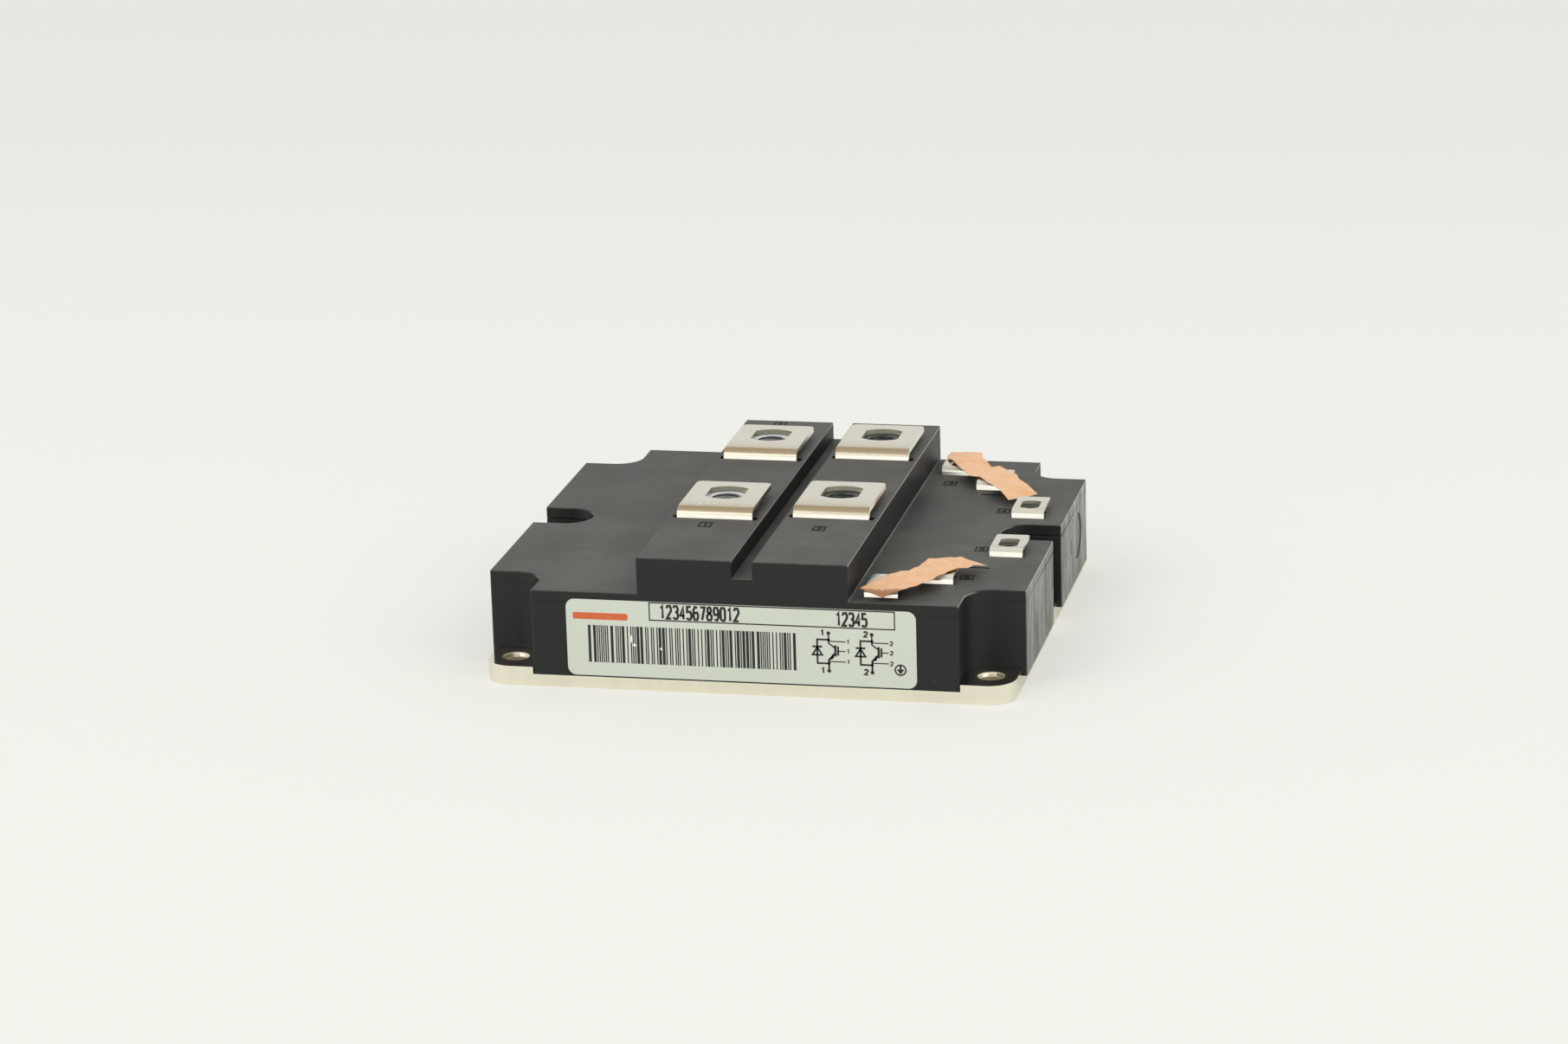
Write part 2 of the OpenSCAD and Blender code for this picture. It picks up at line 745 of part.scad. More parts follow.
// A crumpled ribbon of copper foil laid over the first two auxiliary terminals
// of a row. Each section is [share of the way from the first screw to the
// second, X and Y of its left edge from there, X and Y of its right edge from
// there, height of its left and of its right edge above the terminals], all but
// the first as shares of the strips' width. Before the first screw and beyond
// the second, the way goes on by shares of foil_reach.
foil_rear = [
    [-0.2, -0.2, 0.02, 0.85, 0.51, 0, 0],
    [0.1, -0.38, 0.01, 0.62, 0.38, 0, 0],
    [0.5, -0.51, -0.06, 0.33, 0.41, 0.01, 0.01],
    [0.8, -0.52, -0.19, 0.29, 0.53, 0.03, 0.02],
    [1.1, -0.48, -0.2, 0.27, 0.64, 0, 0],
    [1.4, -0.49, -0.3, 0.16, 0.56, 0, 0],
    [1.7, -0.56, -0.34, 0.07, 0.48, -0.05, -0.03],
    [2, -0.55, -0.28, 0.13, 0.28, -0.1, -0.07]
];
foil_front = [
    [-0.4, 0.07, -0.16, 0.49, -0.31, -0.07, -0.13],
    [0, -0.38, -0.42, 0.55, -0.51, 0.01, 0.01],
    [0.4, -0.58, -0.14, 0.37, -0.74, 0, 0],
    [0.8, -0.71, -0.23, 0.27, -0.77, 0.03, 0.02],
    [1.1, -0.76, -0.1, 0.17, -0.52, 0.01, 0],
    [1.4, -0.84, 0.14, 0.05, -0.58, 0, 0],
    [1.7, -0.67, -0.08, -0.05, -0.71, 0.01, 0.01],
    [1.9, -0.36, -0.34, 0.06, -0.64, -0.08, -0.06]
];
foil_reach = 2.05 * aux_w;
foil_gap = 0.1;

module shorting_foil(sections, sy) {
    first = [aux_outer[0], sy * aux_outer[1], aux_z + foil_gap];
    second = [aux_slant[0], sy * aux_slant[1], aux_z + foil_gap];
    up = [0, 0, foil_t];
    span = second - first;
    reach = foil_reach * span / norm(span);
    color([0.89, 0.63, 0.47])
    skin([
        for (s = sections)
            let (
                inner = min(max(s[0], 0), 1),
                way = first + inner * span + (s[0] - inner) * reach,
                left = way + aux_w * [s[1], s[2], s[5]],
                right = way + aux_w * [s[3], s[4], s[6]]
            )
            [left, left + up, right + up, right]
    ]);
}

// ---------------------------------------------------------------- circuit

// Places its children on tile k, whose own X runs away from the middle.
module on_tile(k) {
    translate([side_of(k) * tile_x, tile_y(k), 0])
        mirror([side_of(k) < 0 ? 1 : 0, 0, 0])
            children();
}

// The ceramic with the copper layer that is soldered to the baseplate.
module ceramic_tile(k) {
    color("white")
    on_tile(k)
        translate([-tile_l / 2, -tile_w / 2, base_t])
            cube([tile_l, tile_w, tile_t]);
}

module track(u0, u1) {
    translate([u0, -track_v, tile_z]) cube([u1 - u0, 2 * track_v, track_t]);
}

module copper_tracks(k) {
    color([0.75, 0.45, 0.30])
    on_tile(k) {
        track(-track_u, -track_u + emitter_track_w);
        track(collector_u0, collector_u1);
        track(track_u - gate_track_w, track_u);
    }
}

module chips(k, u, side) {
    color([0.55, 0.57, 0.60])
    on_tile(k)
        for (v = chip_rows)
            translate([u - side / 2, v - side / 2, track_z])
                cube([side, side, chip_t]);
}

// Points of a loop from [u, z] to [u, z]: a parabola of height loop_h.
function loop_points(a, b) = [
    for (i = [0 : loop_steps])
        let (t = i / loop_steps)
        a + (b - a) * t + [0, 4 * loop_h * t * (1 - t)]
];

// A wire that follows a list of loops in the plane of its row.
module wire(points, v) {
    lower = [for (p = points) p];
    upper = [for (i = [len(points) - 1 : -1 : 0]) points[i] + [0, wire_t]];
    translate([0, v + wire_t / 2, 0])
        rotate([90, 0, 0])
            linear_extrude(wire_t) polygon(concat(lower, upper));
}

emitter_loops = concat(
    loop_points([emitter_u + 1, track_z], [diode_u - 1, chip_z]),
    loop_points([diode_u + 1, chip_z], [igbt_u, chip_z])
);
gate_loop = loop_points([igbt_u + igbt_side / 2 - chip_gap, chip_z], [gate_wire_u, track_z]);

module bond_wires(k) {
    color([0.85, 0.86, 0.88])
    on_tile(k)
        for (v = chip_rows) {
            for (i = [0 : wires_in_row - 1])
                wire(emitter_loops, v + (i - (wires_in_row - 1) / 2) * wire_pitch);
            wire(gate_loop, v + gate_wire_v);
        }
}

// ---------------------------------------------------------------- leads

function aux_leg_y(k) = aux_seat[k][1] - aux_hole_y + aux_t / 2;

// Straight down from the second terminal to the gate track under it.
module gate_lead(row) {
    k = 3 * row + 1;
    x = tile_x + gate_lead_u;
    color("white")
    lead([[x, aux_leg_y(k), track_z], [x, aux_leg_y(k), aux_leg_z]]);
}

// From the terminal at the side notch across to the collector track.
module collector_lead(row) {
    y = aux_leg_y(3 * row + 2);
    x0 = tile_x + collector_u1 - 2 * lead_r;
    x1 = aux_side[0] - aux_w / 2 + 2 * lead_r;
    color("firebrick")
    lead([[x0, y, track_z], [x0, y, lead_z], [x1, y, lead_z], [x1, y, aux_leg_z]]);
}

// From the first terminal round the tile's end to the emitter track.
module emitter_lead(row) {
    sy = row_of(2 * row);
    x0 = tile_x + emitter_u;
    x1 = aux_outer[0] - aux_w / 2 + 2 * lead_r;
    y0 = tile_y(2 * row) + sy * (track_v - 1.3 * lead_r);
    y1 = tile_y(2 * row) + sy * (tile_w / 2 + 3 * lead_r);
    y2 = aux_leg_y(3 * row);
    color("royalblue")
    lead([[x0, y0, track_z], [x0, y0, lead_z], [x0, y1, lead_z],
        [x1, y1, lead_z], [x1, y2, lead_z], [x1, y2, aux_leg_z]]);
}

// From the right-hand tile's gate track over to the left-hand tile's.
module gate_link(row) {
    x = tile_x + gate_lead_u;
    y = tile_y(2 * row) + row_of(2 * row) * (chip_v0 + chip_v1) / 2;
    color("white")
    lead([[-x, y, track_z], [-x, y, lead_z], [x, y, lead_z], [x, y, track_z]]);
}

// ---------------------------------------------------------------- gel

// The soft gel that covers the circuit up to its level, with every piece that
// stands in it left free.
module gel_filling() {
    color([0.80, 0.85, 0.88, 0.6])
    difference() {
        translate([0, 0, base_t])
            linear_extrude(gel_z - base_t)
                intersection() {
                    case_outline(wall_t + fit_play);
                    band(frame_in_y - fit_play);
                }
        for (k = [0 : 3]) {
            on_tile(k) {
                translate([-tile_l / 2, -tile_w / 2, base_t - past])
                    cube([tile_l, tile_w, past + tile_t + track_t]);
                for (v = chip_rows) wire_room(v);
            }
            chips(k, diode_u, diode_side);
            chips(k, igbt_u, igbt_side);
            power_terminal(k);
        }
        for (k = [0 : 5]) aux_terminal(k);
        for (row = [0, 1]) {
            gate_lead(row);
            collector_lead(row);
            emitter_lead(row);
            gate_link(row);
        }
    }
}

// The room that one row of wires takes, as one broad band for each loop.
module wire_room(v) {
    broad = (wires_in_row - 1) * wire_pitch + wire_t;
    translate([0, v + broad / 2, 0])
        rotate([90, 0, 0])
            linear_extrude(broad)
                polygon(concat(
                    [for (p = concat(emitter_loops, gate_loop)) p - [0, chip_t]],
                    [for (i = [len(gate_loop) - 1 : -1 : 0]) gate_loop[i] + [0, wire_t]],
                    [for (i = [len(emitter_loops) - 1 : -1 : 0]) emitter_loops[i] + [0, wire_t]]
                ));
}

// ---------------------------------------------------------------- assembly

baseplate();
housing_frame();
lid();
label();
gel_filling();
for (k = [0 : 3]) {
    power_terminal(k);
    power_nut(k);
    ceramic_tile(k);
    copper_tracks(k);
    chips(k, igbt_u, igbt_side);
    chips(k, diode_u, diode_side);
    bond_wires(k);
}
for (k = [0 : 5]) {
    aux_terminal(k);
    aux_nut(k);
}
for (row = [0, 1]) {
    gate_lead(row);
    collector_lead(row);
    emitter_lead(row);
    gate_link(row);
}
shorting_foil(foil_front, -1);  // shorting_foil_front
shorting_foil(foil_rear, 1);  // shorting_foil_rear
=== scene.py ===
import json
import math

import bmesh
import bpy
import numpy as np
from mathutils import Matrix, Vector


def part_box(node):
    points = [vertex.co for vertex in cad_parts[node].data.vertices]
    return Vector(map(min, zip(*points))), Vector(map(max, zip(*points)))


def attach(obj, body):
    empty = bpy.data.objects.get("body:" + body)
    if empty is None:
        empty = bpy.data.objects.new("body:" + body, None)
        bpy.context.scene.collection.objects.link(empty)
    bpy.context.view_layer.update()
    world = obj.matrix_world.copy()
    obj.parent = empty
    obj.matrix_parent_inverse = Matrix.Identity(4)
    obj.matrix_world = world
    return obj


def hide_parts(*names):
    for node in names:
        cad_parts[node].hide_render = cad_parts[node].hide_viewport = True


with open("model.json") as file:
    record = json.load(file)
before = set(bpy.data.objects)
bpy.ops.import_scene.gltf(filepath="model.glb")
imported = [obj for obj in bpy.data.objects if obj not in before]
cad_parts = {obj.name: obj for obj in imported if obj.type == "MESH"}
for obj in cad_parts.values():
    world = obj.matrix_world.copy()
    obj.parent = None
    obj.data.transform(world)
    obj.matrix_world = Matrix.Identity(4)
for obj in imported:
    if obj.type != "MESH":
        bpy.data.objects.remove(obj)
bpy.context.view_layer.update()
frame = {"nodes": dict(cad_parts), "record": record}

bl_info = {
    "name": "Power module finish",
    "version": (1, 0, 0),
    "blender": (4, 5, 0),
    "location": "3D View > Sidebar > Module",
    "description": "Finishes, label, foils, nuts and marks of a dual power transistor module",
    "category": "Object",
}

MM = 0.001
FULL_TURN = 2 * math.pi

POWER = ("front_left", "front_right", "rear_left", "rear_right")
AUX = ("front_outer", "front_slant", "front_side", "rear_outer", "rear_slant", "rear_side")
ENDS = ("front", "rear")


# ---------------------------------------------------------------- materials

def sign(operation):
    """The two methods of an arithmetic sign: for a wire on its left, and for one on its right."""
    def with_left(self, other):
        return self.paint.maths(operation, self, other)

    def with_right(self, other):
        return self.paint.maths(operation, other, self)

    return with_left, with_right


class Wire:
    """A value on its way through a material: sums, products and powers of wires add the maths nodes."""
    __add__, __radd__ = sign("ADD")
    __sub__, __rsub__ = sign("SUBTRACT")
    __mul__, __rmul__ = sign("MULTIPLY")
    __truediv__, __rtruediv__ = sign("DIVIDE")
    __pow__, __rpow__ = sign("POWER")

    def __init__(self, paint, socket):
        self.paint, self.socket = paint, socket

    def maths(self, operation, *others):
        return self.paint.maths(operation, self, *others)

    def __abs__(self):
        return self.maths("ABSOLUTE")

    def fades(self, low, high):
        """From 0 to 1, smoothly, while this value goes from low to high."""
        return self.paint.add("ShaderNodeMapRange", {0: self, 1: low, 2: high},
                              interpolation_type="SMOOTHSTEP")


class Paint:
    """The nodes that drive one shader: a new material's, or that of the world or other owner given."""

    def __init__(self, name, owner=None, shader="Principled BSDF", **constants):
        self.owner = owner or bpy.data.materials.new(name)
        self.owner.use_nodes = True
        self.tree = self.owner.node_tree
        self.shader = self.tree.nodes[shader]
        self.drives(**constants)
        self.place = self.add("ShaderNodeTexCoord", output="Object")

    def feed(self, socket, value):
        if isinstance(value, Wire):
            self.tree.links.new(value.socket, socket)
        else:
            socket.default_value = value

    def add(self, kind, inputs=(), output=0, **settings):
        """Any node: its settings by name, its inputs by name or number, and one of its outputs."""
        node = self.tree.nodes.new(kind)
        for setting, value in settings.items():
            setattr(node, setting, value)
        for socket, value in dict(inputs).items():
            self.feed(node.inputs[socket], value)
        return Wire(self, node.outputs[output])

    def maths(self, operation, *values):
        return self.add("ShaderNodeMath", dict(enumerate(values)), operation=operation)

    def along(self, axis):
        """How far the surface's point lies along one axis, in metres."""
        return self.add("ShaderNodeSeparateXYZ", {0: self.place}, output="XYZ".index(axis))

    def facing(self, axis):
        """How far the surface turns towards one axis, from -1 to 1."""
        normal = self.add("ShaderNodeTexCoord", output="Normal")
        return self.add("ShaderNodeSeparateXYZ", {0: normal}, output="XYZ".index(axis))

    def stretched(self, stretch, move=(0, 0, 0)):
        return self.add("ShaderNodeMapping", {"Vector": self.place, "Scale": stretch, "Location": move})

    def noise(self, grain, detail=3.0, rough=0.5, stretch=(1, 1, 1), move=(0, 0, 0)):
        """Soft noise whose grains are about that many metres across."""
        return self.add("ShaderNodeTexNoise", {"Vector": self.stretched(stretch, move),
                                               "Scale": 1 / grain, "Detail": detail, "Roughness": rough})

    def cells(self, grain, stretch=(1, 1, 1), output="Distance", feature="F1"):
        """Scattered points about that many metres apart."""
        return self.add("ShaderNodeTexVoronoi", {"Vector": self.stretched(stretch), "Scale": 1 / grain},
                        output=output, feature=feature)

    def chance(self, grain):
        """A different chance value, from 0 to 1, in each cell."""
        return self.add("ShaderNodeSeparateColor", {0: self.cells(grain, output="Color")})

    def specks(self, grain, size, share):
        """1 inside a few small round specks: size is their radius over the grain, share how many show."""
        near = self.cells(grain).fades(size, 0.55 * size)
        return near * self.chance(grain).fades(1 - share, 1 - 0.7 * share)

    def mix(self, factor, first, second):
        """From the first colour to the second as the factor goes from 0 to 1."""
        return self.add("ShaderNodeMix", {0: factor, 6: first, 7: second}, output=2, data_type="RGBA")

    def bump(self, height, strength, depth, under=None):
        inputs = {"Height": height, "Strength": strength, "Distance": depth}
        if under is not None:
            inputs["Normal"] = under
        return self.add("ShaderNodeBump", inputs)

    def drives(self, **sockets):
        """Each named shader socket follows its wire, or has its constant. Gives back the tree's owner."""
        for socket, value in sockets.items():
            self.feed(self.shader.inputs[socket.replace("_", " ")], value)
        return self.owner


def distance(across, along):
    """How far a point is, when it is that far each way."""
    return (across ** 2 + along ** 2) ** 0.5


def grey(value, warmth=0.0):
    return (value * (1 + warmth), value, value * (1 - warmth), 1.0)


def shade(colour, factor):
    return (*(factor * c for c in colour[:3]), 1.0)


def moulded_plastic(name, colour, dust, levels, outer):
    """Glass-filled black plastic: dull grain, dust where it faces up, brownish rubbing on the ridges'
    sides, and a pale film in upright runs on the walls at the outer distance, which also paints in the
    sheen of those walls at a grazing view: painted reflection. The levels are the seam's, with a dark
    joint line, and those of the deck and the top, with pale edges: painted highlights along the top
    edges, and dust at the foot of the ridges."""
    seam, deck, top = levels
    paint = Paint(name, IOR=1.46, Specular_IOR_Level=0.40)
    highlight_and_dust_fade = (0.00075, 0.00025)
    rubbing = (0.10, 0.062, 0.040, 1)
    up = paint.facing("Z").fades(0.35, 0.95)
    sideways = abs(paint.facing("X")).fades(0.5, 0.9)
    height, reach = paint.along("Z"), abs(paint.along("X"))
    cloud = paint.noise(0.030, 4, 0.6).fades(0.35, 0.7)
    patch = paint.noise(0.007, 4, 0.6, move=(3, 1, 2)).fades(0.35, 0.75)
    rubbed = paint.noise(0.012, 5, 0.65, stretch=(0.35, 4.0, 1.0)).fades(0.45, 0.8)
    runs = paint.noise(0.0028, 5, 0.62, stretch=(1.0, 1.0, 0.16), move=(5, 0, 0)).fades(0.36, 0.66)
    settled = up * (0.36 + 0.42 * cloud + 0.16 * patch + 0.14 * rubbed)
    # The film's pale colour is partly painted reflection: the sheen these walls show at a grazing view.
    film = sideways * reach.fades(outer - 0.0006, outer - 0.0002) * (0.42 + 0.58 * runs)
    worn = paint.noise(0.010, 4, 0.6, stretch=(1, 0.5, 1.2), move=(0, 7, 0)).fades(0.5, 0.75)
    brown = sideways * worn * height.fades(seam + 0.0034, seam + 0.0060)
    joint = abs(height - seam).fades(0.00022, 0.00008) * (1 - up)
    speck = paint.specks(0.0035, 0.09, 0.12)
    # Pale bands at the deck's and the top's heights on sideways faces: painted highlights on the top edges,
    # and dust at the ridges' foot.
    edge = abs(height - deck).fades(*highlight_and_dust_fade) + abs(height - top).fades(*highlight_and_dust_fade)
    edge = edge * sideways * (0.60 + 0.40 * worn) * (1 - up)
    tone = paint.mix(settled, colour, dust)
    # Painted reflection: the film's pale colour also stands in for the walls' grazing sheen.
    tone = paint.mix(0.62 * film, tone, shade(dust, 2.7))
    tone = paint.mix(0.24 * brown, tone, rubbing)
    # Painted highlight on the top edges, and dust at the ridges' foot, in a paler dust colour.
    tone = paint.mix(0.90 * edge, tone, shade(dust, 4.2))
    tone = paint.mix(0.50 * speck * (0.25 + 0.75 * up), tone, grey(0.34, 0.02))
    tone = paint.mix(0.92 * joint, tone, grey(0.003))
    grain = paint.noise(0.00030, 2, 0.7)
    waves = paint.noise(0.004, 3, 0.6, move=(1, 4, 2))
    rough = 0.43 + 0.10 * cloud + 0.10 * patch * up + 0.06 * grain - 0.24 * film
    relief = paint.bump(grain, 0.30, 0.00004, paint.bump(waves, 0.20, 0.0002))
    return paint.drives(Base_Color=tone, Roughness=rough, Normal=relief)


def plated_base(name, colour, tarnish_and_painted_light, bright, hole, top):
    """Nickel-plated baseplate: a mirror with faint rolling lines, and sawn sides with sawing marks,
    painted paler and yellower than the top as painted light. The corner holes, whose X, Y and radius
    are given with the height of the plate's top, get a painted highlight on their lip and painted
    shade on their walls below it."""
    paint = Paint(name)
    x, y, radius = hole
    lip_highlight = (1.0, 0.91, 0.70, 1)
    upright = 1 - abs(paint.facing("Z")).fades(0.3, 0.8)
    lines = paint.noise(0.0012, 4, 0.7, stretch=(0.15, 1, 1))
    stain = paint.noise(0.012, 4, 0.6, move=(2, 0, 5)).fades(0.45, 0.8)
    sawn = paint.noise(0.0035, 4, 0.6, stretch=(1, 1, 0.1)).fades(0.35, 0.7)
    away = distance(abs(paint.along("X")) - x, abs(paint.along("Y")) - y)
    rim = away.fades(radius + 0.0012, radius + 0.0001)
    lip = paint.along("Z").fades(top - 0.0015, top - 0.0001)
    # The upright sides get the paler side colour: painted light that makes them brighter than the top, with
    # real sawing marks in it.
    edge = paint.mix(0.35 * sawn, bright, shade(bright, 0.88))
    tone = paint.mix(upright, paint.mix(0.25 * stain, colour, tarnish_and_painted_light), edge)
    # Painted highlight on the corner holes' lip.
    tone = paint.mix(rim * (0.35 + 0.65 * lip), tone, lip_highlight)
    # Painted shade: the holes' walls below the lip are darker.
    tone = paint.mix(0.62 * rim * upright * (1 - lip), tone, shade(tarnish_and_painted_light, 0.70))
    relief = paint.bump(lines, 0.05, 0.00002)
    relief = paint.bump(rim * (1 - lip), 1.0, 0.0006, relief)
    return paint.drives(Base_Color=tone, Metallic=1 - 0.45 * rim * upright,
                        Roughness=0.09 + 0.05 * stain + 0.10 * upright, Normal=relief)


def plated_strip(name, colour, tarnish_and_painted_light, seat, half, reach, crest, stamped=False):
    """Nickel-plated strip whose screw seat is given as (X, Y): half as wide as half, with its front face
    a reach before the seat. That face leans out a little at the foot and is painted brightest, a painted
    highlight; the bend above it, and the top just behind it, get the aged-nickel colour as a painted
    reflection of the warm ceiling, or are bright down to the height crest; the hole's walls are dull.
    A stamped strip has two rows of shallow dots behind the bend, painted white as a highlight."""
    paint = Paint(name)
    lit_face, rubbed, dull = (1.0, 0.985, 0.91, 1), (0.84, 0.82, 0.73, 1), (0.13, 0.125, 0.085, 1)
    up, front = paint.facing("Z"), 0.0 - paint.facing("Y")
    height, behind = paint.along("Z"), paint.along("Y") - (seat[1] - reach)
    lines = paint.noise(0.0012, 4, 0.7, stretch=(1.0, 0.08, 1.0))
    stain = paint.noise(0.012, 4, 0.6, move=(2, 0, 5)).fades(0.45, 0.8)
    inside = behind.fades(0.0018, 0.0026)
    warm = behind.fades(0.6 * reach, 0.15 * reach)
    bend = up.fades(0.15, 0.60) * up.fades(1.0, 0.95)
    worn = front.fades(0.15, 0.30) * height.fades(crest - 0.0001, crest + 0.0001)
    # Painted highlight: the front faces are painted brightest.
    tone = paint.mix(front.fades(0.45, 0.90), colour, lit_face)
    # Painted reflection: the bend, and the top near the front face, take the aged-nickel colour as the warm
    # ceiling's reflection.
    tone = paint.mix(0.25 * bend + 0.30 * warm * up, tone, tarnish_and_painted_light)
    tone = paint.mix(0.20 * stain, tone, tarnish_and_painted_light)
    tone = paint.mix(worn, tone, rubbed)
    tone = paint.mix(0.92 * inside * front.fades(0.3, 0.8), tone, dull)
    tone = paint.mix(0.10 * lines.fades(0.4, 0.7), tone, shade(colour, 0.82))
    relief = paint.bump(lines, 0.05, 0.00002)
    relief = paint.bump(height, 1.0, -0.25, relief)
    droop = (1 - behind / 0.010).maths("MAXIMUM", 0.0) ** 2
    relief = paint.bump(droop, 1.0, -0.08 * reach, relief)
    if stamped:
        margin, length_share, pitch, rows = 0.0024, 1.55, 0.0019, (0.0044, 0.0066)
        across = paint.along("X") - (seat[0] - half + margin)
        step = abs((across / pitch).maths("FRACT") - 0.5) * pitch
        within = across.maths("GREATER_THAN", 0.0) * across.maths("LESS_THAN", length_share * half)
        kept = paint.noise(pitch * 1.7, 1, 0.5, move=(9, 9, 0)).fades(0.44, 0.52)
        dots_and_highlight = sum(distance(step, behind - row).fades(0.00056, 0.00034) for row in rows)
        dots_and_highlight = dots_and_highlight * within * kept * up.fades(0.5, 0.9)
        # Painted highlight: the stamped dots are painted white, over their real shallow dents.
        tone = paint.mix(0.9 * dots_and_highlight, tone, grey(1.0))
        relief = paint.bump(dots_and_highlight, 0.5, 0.00010, relief)
    return paint.drives(Base_Color=tone, Metallic=1 - 0.65 * worn,
                        Roughness=0.16 + 0.06 * stain + 0.03 * lines, Normal=relief)


def zinc_plate(name, colour, shaded):
    """Zinc on turned steel: small crystals of changing tone on the faces that face up, and painted shade,
    a dark colour, in the thread and on all that doesn't face up. A shaded nut has it all over."""
    paint = Paint(name, Metallic=0.2 + 0.6 * shaded)
    painted_shade = (0.030, 0.038, 0.036, 1)
    crystal = paint.chance(0.0006)
    cloud = paint.noise(0.002, 3, 0.6)
    lit_face = paint.facing("Z").fades(0.6, 0.95) * (1 - shaded)
    tone = paint.mix(0.12 * crystal + 0.14 * cloud, colour, shade(colour, 0.62))
    # Painted shade: all but the faces that face up take the dark colour, and a shaded nut nearly all over.
    tone = paint.mix(lit_face, painted_shade, tone)
    return paint.drives(Base_Color=tone, Roughness=0.24 + 0.14 * cloud,
                        Normal=paint.bump(crystal, 0.12, 0.00003))


def copper_foil(name, colour, heat_stain_and_crease_shade, tip):
    """Thin bright copper: flat facets between fine crinkles, warmer stains, painted shade along the folds'
    creases, scattered pricked dots, and a brown tip in front of the given Y."""
    paint = Paint(name, Metallic=0.50, IOR=1.5)
    crinkle = paint.cells(0.0032, stretch=(1, 1, 0.4), feature="DISTANCE_TO_EDGE")
    fine = paint.noise(0.0011, 4, 0.65)
    stain = paint.noise(0.006, 4, 0.6, move=(4, 4, 0)).fades(0.5, 0.8)
    prick = paint.specks(0.0022, 0.10, 0.30)
    crease = crinkle.fades(0.07, 0.0)
    end = (paint.along("Y") + 0.004 * (fine - 0.5)).fades(tip + 0.0007, tip - 0.0007)
    # Painted shade: the creases take the darker stain colour, mixed in with real stains.
    tone = paint.mix(0.36 * stain + 0.26 * crease, colour, heat_stain_and_crease_shade)
    tone = paint.mix(0.6 * prick, tone, shade(heat_stain_and_crease_shade, 0.62))
    tone = paint.mix(0.75 * end, tone, shade(heat_stain_and_crease_shade, 0.34))
    relief = paint.bump(crinkle, 0.45, 0.00025, paint.bump(fine, 0.18, 0.00010))
    return paint.drives(Base_Color=tone, Roughness=0.38 + 0.12 * stain, Normal=relief)


def printed_film(name, colour):
    """Coated label film: faint clouding and fine scuffs on a smooth pale ground."""
    paint = Paint(name, IOR=1.46)
    cloud = paint.noise(0.020, 3, 0.5).fades(0.3, 0.7)
    scuff = paint.noise(0.003, 5, 0.7, stretch=(0.25, 1, 3.0)).fades(0.60, 0.72)
    soil = paint.specks(0.0032, 0.06, 0.12)
    tone = paint.mix(0.10 * cloud + 0.06 * scuff, colour, shade(colour, 0.80))
    tone = paint.mix(0.30 * soil, tone, grey(0.22, 0.05))
    return paint.drives(Base_Color=tone, Roughness=0.34 + 0.14 * scuff,
                        Normal=paint.bump(cloud, 0.05, 0.0003))


def ink(name, colour, worn, gloss=0.5):
    """Printed ink: nearly flat, thinner in tiny spots where it has rubbed."""
    paint = Paint(name, IOR=1.46, Specular_IOR_Level=gloss)
    thin = paint.noise(0.0016, 3, 0.6).fades(0.58, 0.80)
    return paint.drives(Base_Color=paint.mix(0.14 * thin, colour, worn), Roughness=0.42 + 0.10 * thin)


def etched_copper(name, colour, oxide):
    """Copper track on ceramic: half-bright, with oxide clouds and fine etching grain."""
    paint = Paint(name, Metallic=1.0)
    cloud = paint.noise(0.005, 4, 0.6).fades(0.35, 0.75)
    grain = paint.noise(0.0004, 2, 0.6)
    return paint.drives(Base_Color=paint.mix(0.7 * cloud, colour, oxide),
                        Roughness=0.30 + 0.25 * cloud, Normal=paint.bump(grain, 0.2, 0.00003))


def chip_face(name, colour, metal, pitch):
    """Metallised silicon: a fine grid of cells at the given pitch between brighter pads."""
    paint = Paint(name, Metallic=0.6)
    across, down = (abs((paint.along(axis) / pitch).maths("FRACT") - 0.5) for axis in "XY")
    grid = across.maths("MAXIMUM", down).fades(0.40, 0.46)
    pad = paint.mix(paint.noise(0.003, 3, 0.5), metal, shade(metal, 0.7))
    return paint.drives(Base_Color=paint.mix(grid * 0.8, pad, colour),
                        Roughness=0.22 + 0.2 * grid, Normal=paint.bump(grid, 0.2, 0.00003))


def fired_ceramic(name, colour):
    """White fired ceramic with a very fine grain."""
    paint = Paint(name, IOR=1.6)
    grain = paint.noise(0.0003, 3, 0.6)
    cloud = paint.noise(0.006, 3, 0.5).fades(0.3, 0.7)
    return paint.drives(Base_Color=paint.mix(0.25 * cloud + 0.15 * grain, colour, shade(colour, 0.82)),
                        Roughness=0.45 + 0.15 * grain, Normal=paint.bump(grain, 0.15, 0.00002))


def drawn_wire(name, colour):
    """Drawn wire: lengthwise die lines and small dull spots."""
    paint = Paint(name, Metallic=1.0)
    lines = paint.noise(0.0006, 3, 0.6, stretch=(3, 0.3, 3))
    return paint.drives(Base_Color=paint.mix(0.5 * lines, colour, shade(colour, 0.75)),
                        Roughness=0.26 + 0.2 * lines, Normal=paint.bump(lines, 0.1, 0.00003))


def sleeve(name, colour):
    """Wire insulation: slightly waxy, with a faint mottle."""
    paint = Paint(name, IOR=1.45)
    cloud = paint.noise(0.002, 3, 0.6)
    return paint.drives(Base_Color=paint.mix(0.5 * cloud, colour, shade(colour, 0.72)),
                        Roughness=0.40 + 0.15 * cloud, Normal=paint.bump(cloud, 0.1, 0.0001))


def clear_gel(name, colour):
    """Soft clear filling: smooth, faintly clouded, and see-through."""
    paint = Paint(name, IOR=1.41, Alpha=0.35)
    cloud = paint.noise(0.015, 2, 0.5)
    return paint.drives(Base_Color=paint.mix(0.4 * cloud, colour, shade(colour, 0.85)),
                        Roughness=0.06 + 0.06 * cloud, Normal=paint.bump(cloud, 0.08, 0.0004))


